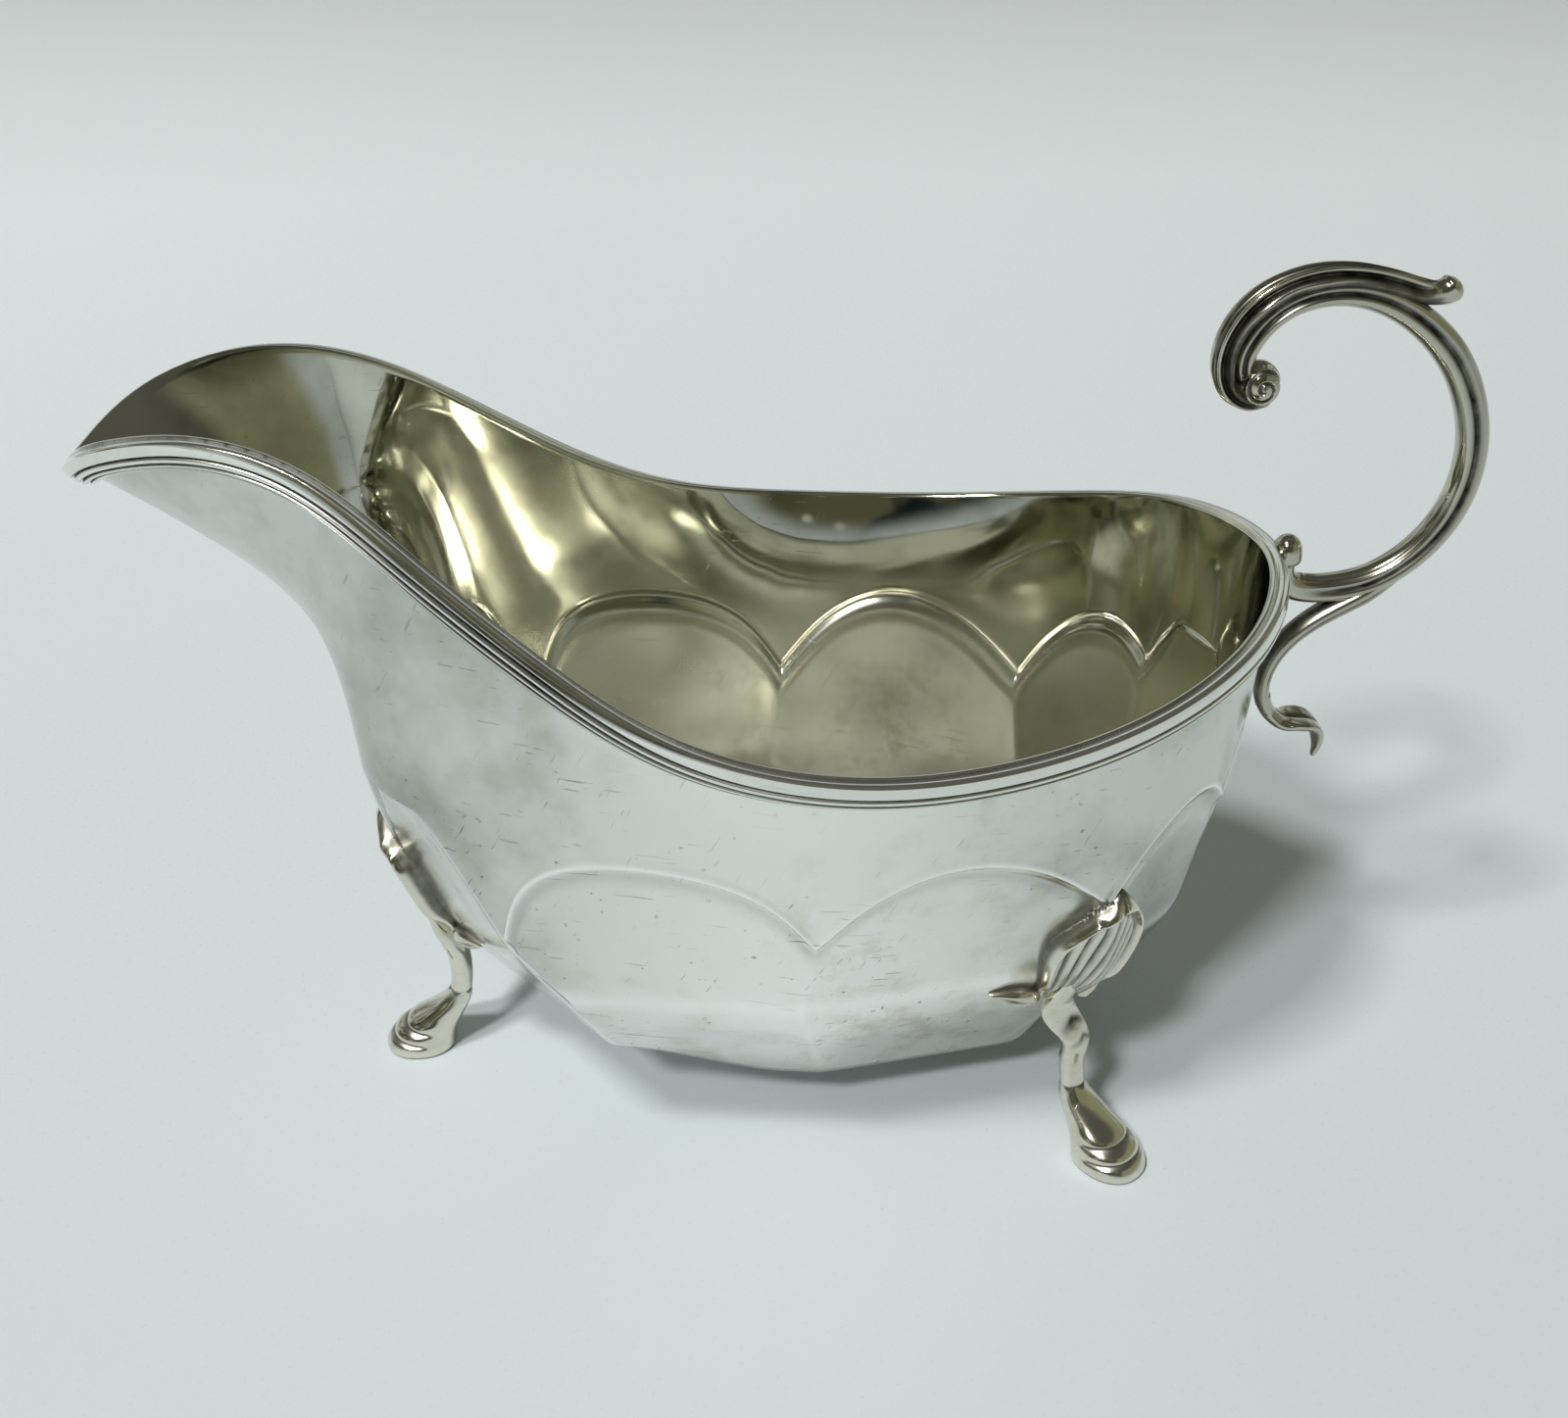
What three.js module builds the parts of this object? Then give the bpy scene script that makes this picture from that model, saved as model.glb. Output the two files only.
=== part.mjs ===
// Silver sauce boat: a panelled bowl with a raised pouring lip, a reeded wire round its rim, a flying scroll
// handle with a leaf along its back, and three cast feet, each a shell knee, a leg, a hoof and two small leaves.
// Millimetres. +X points to the handle, the lip points to -X, +Z is up and the soles stand on z = 0.
import * as THREE from "three";

// ---------------------------------------------------------------- driving dimensions
const WALL = 1.0; // thickness of the bowl's sheet
const GAP = 0.35; // solder line left open between two pieces
const BOWL_COLUMNS = 64; // facets round the bowl
const BOWL_ROWS = 18; // facets from the middle of the floor up to the rim

// One side of the rim, from the tip of the lip round to the handle: x, half width, height.
const RIM_HALF = [
  [-85, 0, 90.8], [-82.3, 6.5, 93.4], [-76.5, 12, 96.6], [-67, 16.1, 98.4], [-55.6, 19.6, 96.2],
  [-43, 25.4, 88], [-30, 30.8, 78.2], [-16, 36.5, 70.6], [3, 40.1, 66.9], [21.2, 38, 66.8],
  [39.4, 31.2, 69.2], [51.5, 21.6, 72.3], [57.5, 11, 73.9], [59.8, 0, 74.3],
];

// The round body before its panels are flattened: level rings, each a squared oval.
// front and rear are the reach to -X and +X, side the half width, squareFront and squareRear the oval's power.
const FLOOR_Z = 7.6;
const RINGS = [
  { z: FLOOR_Z, front: 44, rear: 44.5, side: 27.5, squareFront: 2.2, squareRear: 2.2 },
  { z: 8.8, front: 53, rear: 53.5, side: 33, squareFront: 2.5, squareRear: 2.3 },
  { z: 30, front: 50.5, rear: 53.5, side: 32.2, squareFront: 2.67, squareRear: 2.7 },
  { z: 48.8, front: 57.6, rear: 58, side: 36.4, squareFront: 2.65, squareRear: 2.18 },
];
const NECK = { sideMix: 0.28, frontMix: -0.32, sideHeight: 0.58, frontHeight: 0.45 };

// The bottom climbs towards the lip: by rise, over run from start on, and less the higher up the body, none at reach.
const KEEL = { rise: 5.8, start: -3, run: 22, reach: 24 };

// Ten flat panels, five to a side, each held by the two points where its arch starts.
// lean is the panel's angle from upright, fold the height at its two ends of the line where it breaks towards the
// floor, turn how far the floor facet turns under from the panel.
const ARCH_FEET = [
  [[-57.3, 0, 40], [-36.4, 30.6, 41]],
  [[-35.7, 31.2, 46.9], [-0.4, 34.5, 40.3]],
  [[-0.4, 34.5, 40.3], [35.5, 29.2, 41.2]],
  [[35.5, 29.2, 41.2], [51, 16.5, 43]],
  [[51, 16.5, 43], [56.4, 0, 44]],
];
const PANEL_LEAN = [19, 15, 17, 14, 12];
const PANEL_FOLD = [[22.5, 38.5], [28, 28], [28, 28], [28, 28], [24, 24]];
const PANEL_TURN = [12.5, 15, 10.5, 16, 17];
const PANEL_HEART = new THREE.Vector3(0, 0, 52); // the body is flattened towards this point
const PANEL_CEILING = [57, 67]; // panels fade out between these heights, below the lip's flare

// ---------------------------------------------------------------- small helpers
const rad = THREE.MathUtils.degToRad;
const mix = THREE.MathUtils.lerp;
const smooth = (x) => THREE.MathUtils.smoothstep(x, 0, 1);
const vec = (x, y, z) => new THREE.Vector3(x, y, z);

/** A silver piece: its mesh, its name, and how polished it is. */
function silver(name, geometry, roughness = 0.22, color = 0xd6d6cf) {
  const material = new THREE.MeshStandardMaterial({ color, roughness, metalness: 1 });
  const mesh = new THREE.Mesh(geometry, material);
  mesh.name = name;
  return mesh;
}

function bufferGeometry(points, triangles) {
  const g = new THREE.BufferGeometry();
  g.setAttribute("position", new THREE.BufferAttribute(new Float32Array(points.flatMap((p) => p.toArray())), 3));
  g.setIndex(triangles.flat());
  g.computeVertexNormals();
  return g;
}

/** A closed body through a row of loops with equal counts; a flat fan closes each end. */
function loft(loops) {
  const n = loops[0].length;
  const points = loops.flat();
  const triangles = [];
  for (let k = 0; k + 1 < loops.length; k++) {
    for (let i = 0; i < n; i++) {
      const a = k * n + i;
      const b = k * n + ((i + 1) % n);
      triangles.push([a, b, b + n], [a, b + n, a + n]);
    }
  }
  for (const k of [0, loops.length - 1]) {
    const middle = new THREE.Vector3();
    loops[k].forEach((p) => middle.addScaledVector(p, 1 / n));
    const m = points.push(middle) - 1;
    for (let i = 0; i < n; i++) {
      const a = k * n + i;
      const b = k * n + ((i + 1) % n);
      triangles.push(k === 0 ? [m, b, a] : [m, a, b]);
    }
  }
  return bufferGeometry(points, triangles);
}

/** A closed body between two sheets given on the same grid of rows[v][u]: front faces out, back faces in. */
function slab(front, back) {
  const rows = front.length;
  const cols = front[0].length;
  const points = [...front.flat(), ...back.flat()];
  const f = (v, u) => v * cols + u;
  const b = (v, u) => rows * cols + v * cols + u;
  const triangles = [];
  const quad = (p, q, r, s) => triangles.push([p, q, r], [p, r, s]);
  for (let v = 0; v + 1 < rows; v++) {
    for (let u = 0; u + 1 < cols; u++) {
      quad(f(v, u), f(v, u + 1), f(v + 1, u + 1), f(v + 1, u));
      quad(b(v, u), b(v + 1, u), b(v + 1, u + 1), b(v, u + 1));
    }
    quad(f(v, 0), f(v + 1, 0), b(v + 1, 0), b(v, 0));
    quad(f(v, cols - 1), b(v, cols - 1), b(v + 1, cols - 1), f(v + 1, cols - 1));
  }
  for (let u = 0; u + 1 < cols; u++) {
    quad(f(0, u), b(0, u), b(0, u + 1), f(0, u + 1));
    quad(f(rows - 1, u), f(rows - 1, u + 1), b(rows - 1, u + 1), b(rows - 1, u));
  }
  return bufferGeometry(points, triangles);
}

/** An oval loop round a centre, spanned by two half axes; it runs from axis a towards axis b. */
function oval(centre, a, b, count) {
  return Array.from({ length: count }, (_, i) => {
    const t = (2 * Math.PI * i) / count;
    return centre.clone().addScaledVector(a, Math.cos(t)).addScaledVector(b, Math.sin(t));
  });
}

// ---------------------------------------------------------------- the flat panels
/** Half spaces that hold the flattened body: outward normal and reach, mirrored to both sides. */
function panelPlanes() {
  const planes = [];
  ARCH_FEET.forEach(([p, q], k) => {
    const a = vec(...p);
    const b = vec(...q);
    const along = b.clone().sub(a);
    const outward = vec(-along.y, along.x, 0).normalize();
    if (outward.x * (a.x + b.x) + outward.y * (a.y + b.y) < 0) outward.negate();
    const lean = rad(PANEL_LEAN[k]);
    const up = outward.clone().multiplyScalar(Math.sin(lean)).setZ(Math.cos(lean));
    const side = along.clone().cross(up).normalize();
    if (side.dot(outward) < 0) side.negate();
    const foldA = a.clone().addScaledVector(up, (PANEL_FOLD[k][0] - a.z) / up.z);
    const foldB = b.clone().addScaledVector(up, (PANEL_FOLD[k][1] - b.z) / up.z);
    const upwards = foldB.clone().sub(foldA).cross(side).normalize();
    if (upwards.z < 0) upwards.negate();
    const turn = rad(PANEL_TURN[k]);
    const floor = side.clone().multiplyScalar(Math.cos(turn)).addScaledVector(upwards, -Math.sin(turn));
    for (const [n, reach] of [[side, side.dot(a)], [floor, floor.dot(foldA)]]) {
      planes.push({ n, reach }, { n: vec(n.x, -n.y, n.z), reach });
    }
  });
  return planes;
}
const PLANES = panelPlanes();

/** How far along the ray from the heart through p the nearest panel lies, as a share of the ray. */
function panelShare(p, lift = 0) {
  const ray = p.clone().sub(PANEL_HEART);
  const shares = PLANES.map(({ n, reach }) => {
    const towards = ray.dot(n);
    return towards > 1e-6 ? (reach + lift - PANEL_HEART.dot(n)) / towards : Infinity;
  });
  return Math.min(...shares);
}

/** A point on the panelled body, or lift millimetres clear of it, on the ray from the heart through p. */
function onPanels(p, lift) {
  return p.clone().sub(PANEL_HEART).multiplyScalar(panelShare(p, lift)).add(PANEL_HEART);
}

// ---------------------------------------------------------------- bowl
function rimPoints() {
  const near = RIM_HALF.map(([x, y, z]) => vec(x, -y, z));
  const far = RIM_HALF.slice(1, -1).reverse().map(([x, y, z]) => vec(x, y, z));
  const curve = new THREE.CatmullRomCurve3([...near, ...far], true, "centripetal");
  return curve.getSpacedPoints(BOWL_COLUMNS).slice(0, BOWL_COLUMNS);
}

/** Distance from the axis to a squared oval, at a direction round it. */
function ovalReach(ring, angle) {
  const c = Math.cos(angle);
  const power = c < 0 ? ring.squareFront : ring.squareRear;
  const reach = c < 0 ? ring.front : ring.rear;
  return (Math.abs(c / reach) ** power + Math.abs(Math.sin(angle) / ring.side) ** power) ** (-1 / power);
}

/** Uniform cubic B-spline with clamped ends, through a short list of control points, by de Boor's rule. */
function bspline(control, t) {
  const spans = control.length - 3;
  const knot = (i) => Math.min(Math.max(i - 3, 0), spans) / spans;
  const span = Math.min(Math.floor(t * spans), spans - 1) + 3;
  const d = [0, 1, 2, 3].map((j) => control[span - 3 + j].clone());
  for (let r = 1; r <= 3; r++) {
    for (let j = 3; j >= r; j--) {
      const low = knot(span - 3 + j);
      const share = (t - low) / (knot(span + 1 + j - r) - low);
      d[j] = d[j - 1].clone().lerp(d[j], share);
    }
  }
  return d[3];
}

/** Outer skin as columns[i][j], i round the rim against the clock from the lip's tip, j up from the floor. */
function outerSkin(rim) {
  return rim.map((top) => {
    const angle = Math.atan2(top.y, top.x);
    const at = (r, z) => vec(r * Math.cos(angle), r * Math.sin(angle), z);
    const reach = RINGS.map((ring) => ovalReach(ring, angle));
    const shoulder = reach[3];
    const shoulderZ = RINGS[3].z;
    const front = smooth(-Math.cos(angle));
    const neckMix = mix(NECK.sideMix, NECK.frontMix, front);
    const neckHeight = mix(NECK.sideHeight, NECK.frontHeight, front);
    const topReach = Math.hypot(top.x, top.y);
    const control = [
      at(0, FLOOR_Z),
      ...RINGS.map((ring, k) => at(reach[k], ring.z)),
      at(mix(shoulder, topReach, neckMix), mix(shoulderZ, top.z, neckHeight)),
      top,
    ];
    return Array.from({ length: BOWL_ROWS + 1 }, (_, j) => {
      const p = bspline(control, j / BOWL_ROWS);
      const low = THREE.MathUtils.clamp(1 - (p.z - FLOOR_Z) / KEEL.reach, 0, 1);
      p.z += KEEL.rise * smooth((KEEL.start - p.x) / KEEL.run) * low ** 2;
      const fade = 3 * smooth((p.z - PANEL_CEILING[0]) / (PANEL_CEILING[1] - PANEL_CEILING[0]));
      const share = Math.min(1, panelShare(p) + fade);
      return p.sub(PANEL_HEART).multiplyScalar(share).add(PANEL_HEART);
    });
  });
}

/** Outward unit normals of a skin, from its neighbours on the grid. */
function skinNormals(skin) {
  const n = skin.length;
  return skin.map((column, i) =>
    column.map((p, j) => {
      if (j === 0) return vec(0, 0, -1);
      const around = skin[(i + 1) % n][j].clone().sub(skin[(i + n - 1) % n][j]);
      const up = column[Math.min(j + 1, BOWL_ROWS)].clone().sub(column[j - 1]);
      return around.cross(up).normalize();
    }),
  );
}

/** The sheet between the outer skin and the same skin moved in by the wall. */
function bowlGeometry(skin, normals) {
  const n = skin.length;
  const points = [];
  const triangles = [];
  const addSkin = (place, flip) => {
    const pole = points.push(place(0, 0)) - 1;
    const first = points.length;
    skin.forEach((column, i) => column.slice(1).forEach((_, j) => points.push(place(i, j + 1))));
    const id = (i, j) => first + (i % n) * BOWL_ROWS + j - 1;
    const face = (a, b, c) => triangles.push(flip ? [a, c, b] : [a, b, c]);
    for (let i = 0; i < n; i++) {
      face(pole, id(i + 1, 1), id(i, 1));
      for (let j = 1; j < BOWL_ROWS; j++) {
        face(id(i, j), id(i + 1, j), id(i + 1, j + 1));
        face(id(i, j), id(i + 1, j + 1), id(i, j + 1));
      }
    }
    return id;
  };
  const outer = addSkin((i, j) => skin[i][j].clone(), false);
  const inner = addSkin((i, j) => skin[i][j].clone().addScaledVector(normals[i][j], -WALL), true);
  for (let i = 0; i < n; i++) {
    const [a, b] = [outer(i, BOWL_ROWS), outer(i + 1, BOWL_ROWS)];
    const [c, d] = [inner(i + 1, BOWL_ROWS), inner(i, BOWL_ROWS)];
    triangles.push([a, b, c], [a, c, d]);
  }
  return bufferGeometry(points, triangles);
}

// ---------------------------------------------------------------- rim wire
// Section of the reeded wire: distance out from the wall, distance down from the rim.
const RIM_WIRE = [[GAP, -0.15], [0.95, -0.3], [1.35, 0.5], [1.35, 1.6], [1.25, 2.7], [0.85, 3.2], [GAP, 3.1]];

function rimWireGeometry(skin, normals) {
  const n = skin.length;
  const m = RIM_WIRE.length;
  const points = [];
  skin.forEach((column, i) => {
    const top = column[BOWL_ROWS];
    const down = column[BOWL_ROWS - 1].clone().sub(top).normalize();
    RIM_WIRE.forEach(([out, drop]) =>
      points.push(top.clone().addScaledVector(normals[i][BOWL_ROWS], out).addScaledVector(down, drop)),
    );
  });
  const triangles = [];
  for (let i = 0; i < n; i++) {
    for (let k = 0; k < m; k++) {
      const a = i * m + k;
      const b = i * m + ((k + 1) % m);
      const c = ((i + 1) % n) * m + ((k + 1) % m);
      const d = ((i + 1) % n) * m + k;
      triangles.push([a, b, c], [a, c, d]);
    }
  }
  return bufferGeometry(points, triangles);
}

// ---------------------------------------------------------------- handle
// Every handle piece lies along a line in the plane y = 0: x, z, half thickness in that plane, half width along y.
const SCROLL_LINE = [
  [63.4, 71.4, 1.1, 1.2], [64.4, 69.1, 1.6, 1.6], [68.5, 68.5, 1.8, 1.8], [74.5, 69.9, 1.9, 1.9],
  [79, 73.2, 1.9, 1.9], [82.3, 78.2, 1.9, 1.9], [83.6, 83.8, 1.9, 1.9], [83, 89.4, 1.9, 1.9],
  [80.8, 95, 1.9, 1.9], [77, 100.1, 1.8, 1.9], [71.6, 104.2, 1.5, 1.9], [66, 106.2, 1.4, 1.9],
  [61, 106.4, 1.4, 2.0], [56.4, 104.5, 1.4, 2.1], [53.7, 101.2, 1.3, 2.1], [52.9, 98.6, 0.9, 1.8],
];
const LEAF_LINE = [
  [78.2, 107.6, 0.8, 0.9], [75.6, 106.3, 1.0, 1.6], [71.8, 107.4, 1.1, 2.0], [66.5, 108.8, 1.1, 2.3],
  [60.4, 108.9, 1.1, 2.5], [54.8, 106.9, 1.2, 2.7], [51.3, 102.9, 1.2, 2.8], [50.4, 98.2, 1.1, 2.6],
  [51.6, 94.6, 0.8, 2.2], [54.2, 92.8, 0.6, 1.8],
];
const BRACKET_LINE = [
  [72.2, 66.6, 0.6, 1.3], [68.4, 64.8, 1.2, 1.8], [64.9, 62.2, 1.3, 1.8], [62.6, 58.8, 1.15, 1.6],
  [61.7, 55.6, 1.1, 1.5], [62.0, 53.0, 1.0, 1.5],
];
const TAIL_LINE = [
  [62.7, 51.8, 0.8, 1.5], [64, 49.6, 0.8, 2.0], [66.4, 48.1, 0.7, 2.4], [69, 47.4, 0.7, 1.9],
  [70.5, 45.6, 0.7, 1.1], [70.3, 43.6, 0.5, 0.6],
];
const BUD = { x: 63.3, z: 74.0, radius: 1.75, height: 4.6 };
const VOLUTE = { x: 56.0, z: 95.6, outer: 2.5, boss: 1.2, halfWidth: 3.4 };
const PAD = { low: 46.5, high: 58.5, halfWidth: 2.4, thickness: 1.3 };

/** A bar whose middle follows a line in the plane y = 0, with an oval section that changes along it. */
function barGeometry(line, steps, sides = 8) {
  const middle = new THREE.CatmullRomCurve3(line.map(([x, z]) => vec(x, 0, z)), false, "centripetal");
  const size = new THREE.CatmullRomCurve3(line.map(([, , t, w]) => vec(t, w, 0)), false, "centripetal");
  const loops = Array.from({ length: steps + 1 }, (_, k) => {
    const t = k / steps;
    const along = middle.getTangent(t);
    const across = vec(-along.z, 0, along.x);
    const { x: thick, y: wide } = size.getPoint(t);
    return oval(middle.getPoint(t), vec(0, wide, 0), across.multiplyScalar(thick), sides);
  });
  return loft(loops);
}

function budGeometry() {
  const half = BUD.height / 2;
  const profile = Array.from({ length: 9 }, (_, k) => {
    const t = -Math.PI / 2 + (Math.PI * k) / 8;
    return new THREE.Vector2(Math.max(BUD.radius * Math.cos(t), 0), half * Math.sin(t));
  });
  profile[0].x = 0;
  profile[8].x = 0;
  return new THREE.LatheGeometry(profile, 12).rotateX(Math.PI / 2);
}

/** The rolled end of the handle: a snail that steps in to a small boss on each side. */
function voluteGeometry() {
  const { outer, boss, halfWidth } = VOLUTE;
  const side = [[0, -halfWidth], [boss, -halfWidth + 0.3], [boss * 1.5, -halfWidth * 0.75],
    [outer * 0.9, -halfWidth * 0.5], [outer, 0]];
  const other = side.slice(0, -1).reverse().map(([r, y]) => [r, -y]);
  return new THREE.LatheGeometry([...side, ...other].map(([r, y]) => new THREE.Vector2(r, y)), 16);
}

/** A pointed plate soldered to the rear of the bowl, where the bracket meets it. */
function padGeometry() {
  const rows = 6;
  const cols = 4;
  const sheet = (lift) =>
    Array.from({ length: rows + 1 }, (_, v) => {
      const z = mix(PAD.low, PAD.high, v / rows);
      const half = PAD.halfWidth * (0.25 + 0.75 * Math.sin((Math.PI * v) / rows));
      return Array.from({ length: cols + 1 }, (_, u) => {
        const y = half * ((2 * u) / cols - 1);
        const crown = lift * (1 - 0.5 * (y / PAD.halfWidth) ** 2);
        return vec(rearWall(z) + GAP + crown, y, z);
      });
    });
  return slab(sheet(PAD.thickness), sheet(0));
}

/** The bowl's reach to +X on its centre line, between the shoulder and the rim. */
function rearWall(z) {
  const shoulder = RINGS[3];
  const top = RIM_HALF[RIM_HALF.length - 1];
  return mix(shoulder.rear, top[0], (z - shoulder.z) / (top[2] - shoulder.z)) + 0.1;
}

// ---------------------------------------------------------------- feet
const FEET = [
  { name: "front", turn: 180, sole: [-55.4, 0] },
  { name: "rear_right", turn: -48, sole: [39, -30.5] },
  { name: "rear_left", turn: 48, sole: [39, 30.5] },
];
const SHELL = { low: 19.5, high: 42.6, halfWidth: 6.3, crown: 1.7, edge: 1.1 };
// Leg: height, how far its middle stands in from the sole's, half thickness, half width.
const LEG_LINE = [[15.6, 7.2, 1.35, 2.3], [13.6, 7.5, 1.45, 1.95], [11.8, 7.4, 1.45, 1.8], [10.2, 6.9, 1.4, 1.8]];
const KNEE = { z: 19.6, lift: 1.2, halfThick: 0.8, halfWidth: 2.8 };
// Hoof: height, middle of the section, half length, half width; the last row is the sole.
const HOOF_LINE = [
  [9.8, -6.6, 1.6, 2.1], [7.3, -5.3, 2.5, 2.7], [5.1, -3.1, 3.7, 3.4], [2.6, -0.8, 4.7, 4.1],
  [1.0, -0.1, 5.0, 4.4], [0, -0.1, 4.7, 4.1],
];
const LEAF = { root: 4.1, length: 5.4, halfWidth: 1.8, thickness: 1.6, z: 20.2, rise: -1.2 };

/** The frame of one foot: out is away from the bowl, side is along the floor, at(s, w, z) a point in it. */
function footFrame({ turn, sole }) {
  const out = vec(Math.cos(rad(turn)), Math.sin(rad(turn)), 0);
  const side = vec(-out.y, out.x, 0);
  const at = (s, w, z) => vec(sole[0], sole[1], z).addScaledVector(out, s).addScaledVector(side, w);
  return { out, side, at };
}

/** The fan's half width as a share of its widest, from its root at the knee (0) to its round top (1). */
function fanWidth(t) {
  const opening = 0.5 + 0.5 * Math.sin((Math.PI / 2) * Math.min(t / 0.72, 1));
  return t < 0.72 ? opening : Math.sqrt(1 - 0.75 * ((t - 0.72) / 0.28) ** 2);
}

/** The shell knee: a fan laid against the bowl, narrow below and round above. */
function shellGeometry({ at }) {
  const rows = 8;
  const cols = 8;
  const sheet = (thickness) =>
    Array.from({ length: rows + 1 }, (_, v) => {
      const t = v / rows;
      const half = SHELL.halfWidth * fanWidth(t);
      return Array.from({ length: cols + 1 }, (_, u) => {
        const w = (2 * u) / cols - 1;
        const droop = 0.22 * (SHELL.high - SHELL.low) * w * w * t * t;
        const z = mix(SHELL.low, SHELL.high, t) - droop;
        const crown = SHELL.edge + SHELL.crown * (1 - w * w) * Math.sin(Math.PI * (0.15 + 0.75 * t));
        return onPanels(at(-4, w * half, z), GAP + crown * thickness);
      });
    });
  return slab(sheet(1), sheet(0));
}

function legGeometry({ at, out, side }) {
  const knee = onPanels(at(-6, 0, KNEE.z), GAP + KNEE.lift);
  const lineUp = LEG_LINE.map(([z, inset, thick, wide]) => ({ p: at(-inset, 0, z), thick, wide }));
  const stations = [{ p: knee, thick: KNEE.halfThick, wide: KNEE.halfWidth }, ...lineUp];
  const loops = stations.map(({ p, thick, wide }) =>
    oval(p, side.clone().multiplyScalar(wide), out.clone().multiplyScalar(-thick), 10),
  );
  return loft(loops.reverse());
}

function hoofGeometry({ at, out, side }) {
  const loops = HOOF_LINE.map(([z, s, long, wide]) =>
    oval(at(s, 0, z), side.clone().multiplyScalar(wide), out.clone().multiplyScalar(-long), 14),
  );
  return loft(loops.reverse());
}

/** A small leaf that runs along the bowl from the side of the knee; hand is 1 or -1. */
function leafGeometry({ at }, hand) {
  const rows = 4;
  const cols = 5;
  const sheet = (thickness) =>
    Array.from({ length: rows + 1 }, (_, v) => {
      const across = (2 * v) / rows - 1;
      return Array.from({ length: cols + 1 }, (_, u) => {
        const t = u / cols;
        const half = LEAF.halfWidth * (0.15 + 0.85 * Math.sin(Math.PI * (0.2 + 0.78 * t)));
        const w = hand * (LEAF.root + LEAF.length * t);
        const z = LEAF.z + LEAF.rise * t + across * half;
        const crown = LEAF.thickness * (1 - 0.6 * across * across) * thickness;
        return onPanels(at(-6, w, z), GAP + crown);
      });
    });
  const [front, back] = [sheet(1), sheet(0)];
  return hand > 0 ? slab(front, back) : slab(front.map((r) => r.reverse()), back.map((r) => r.reverse()));
}

// ---------------------------------------------------------------- assembly
const sauceBoat = new THREE.Group();
const skin = outerSkin(rimPoints());
const normals = skinNormals(skin);
sauceBoat.add(
  silver("bowl", bowlGeometry(skin, normals), 0.16),
  silver("rim_moulding", rimWireGeometry(skin, normals), 0.2),
);

const handle = new THREE.Group();
const bud = silver("handle_bud", budGeometry(), 0.25);
bud.position.set(BUD.x, 0, BUD.z);
const volute = silver("handle_volute", voluteGeometry(), 0.25);
volute.position.set(VOLUTE.x, 0, VOLUTE.z);
handle.add(
  silver("handle_scroll", barGeometry(SCROLL_LINE, 44), 0.2),
  silver("handle_leaf", barGeometry(LEAF_LINE, 24), 0.3),
  silver("handle_bracket", barGeometry(BRACKET_LINE, 12), 0.2),
  silver("handle_tail_leaf", barGeometry(TAIL_LINE, 12), 0.25),
  silver("handle_pad", padGeometry(), 0.25),
  bud,
  volute,
);
sauceBoat.add(handle);

for (const foot of FEET) {
  const frame = footFrame(foot);
  const part = (piece) => `foot_${foot.name}_${piece}`;
  sauceBoat.add(
    silver(part("shell"), shellGeometry(frame), 0.3),
    silver(part("leg"), legGeometry(frame), 0.25),
    silver(part("hoof"), hoofGeometry(frame), 0.2),
    silver(part("leaf_left"), leafGeometry(frame, 1), 0.3),
    silver(part("leaf_right"), leafGeometry(frame, -1), 0.3),
  );
}

export default sauceBoat;
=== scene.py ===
# %% [markdown]
# # A silver sauce boat
#
# The real thing is raised from one silver sheet: a bowl on three cast feet, a pouring lip at one end and a
# flying scroll handle at the other. Almost nothing on it is straight, so nearly every piece here is a surface
# that we work out with numpy: a function of two parameters on a grid. The lengths below are in millimetres,
# because a silversmith thinks in them, and every mesh is divided by 1000 on its way into Blender.

import bpy
import numpy as np
from mathutils import Matrix, Vector


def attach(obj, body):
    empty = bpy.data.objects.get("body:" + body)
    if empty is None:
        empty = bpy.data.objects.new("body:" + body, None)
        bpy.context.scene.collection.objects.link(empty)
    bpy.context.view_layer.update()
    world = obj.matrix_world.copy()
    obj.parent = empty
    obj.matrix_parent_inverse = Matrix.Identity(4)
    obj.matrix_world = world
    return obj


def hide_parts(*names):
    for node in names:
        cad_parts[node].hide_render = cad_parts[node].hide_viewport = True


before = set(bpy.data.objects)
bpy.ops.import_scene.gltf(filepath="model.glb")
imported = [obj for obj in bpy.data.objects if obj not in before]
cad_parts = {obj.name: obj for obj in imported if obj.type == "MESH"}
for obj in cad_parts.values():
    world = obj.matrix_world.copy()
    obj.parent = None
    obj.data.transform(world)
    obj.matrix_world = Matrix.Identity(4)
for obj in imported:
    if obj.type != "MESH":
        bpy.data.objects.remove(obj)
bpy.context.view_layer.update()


# %% [markdown]
# ## Small tools for surfaces
#
# Every piece is a grid of points, `rows x columns`, closed on itself where it has to be. One helper turns
# such a grid into a mesh whose faces point outwards: it measures the signed volume, which is positive only
# when they do. Each point also carries a number from 0 for bright metal to 1 for black: the oxide that stays
# in a groove after polishing, and painted shade in a few places. A second number paints highlights, bright
# lines along the bowl's arches, folds and seams.

# %% Mesh helper
MM = 0.001


def signed_volume(points, quads):
    """Six times the volume: the triple products of each face's two triangles, added up."""
    a, b, c, d = (points[quads[:, k]] for k in range(4))
    return np.einsum("ij,ij->", a, np.cross(b, c)) + np.einsum("ij,ij->", a, np.cross(c, d))


def grid_quads(rows, columns):
    """Corner indices of every cell of a grid whose last column is followed by its first."""
    r, c = np.meshgrid(np.arange(rows - 1), np.arange(columns), indexing="ij")
    c2 = (c + 1) % columns
    corners = [r * columns + c, r * columns + c2, (r + 1) * columns + c2, (r + 1) * columns + c]
    return np.stack(corners, -1).reshape(-1, 4)


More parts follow.
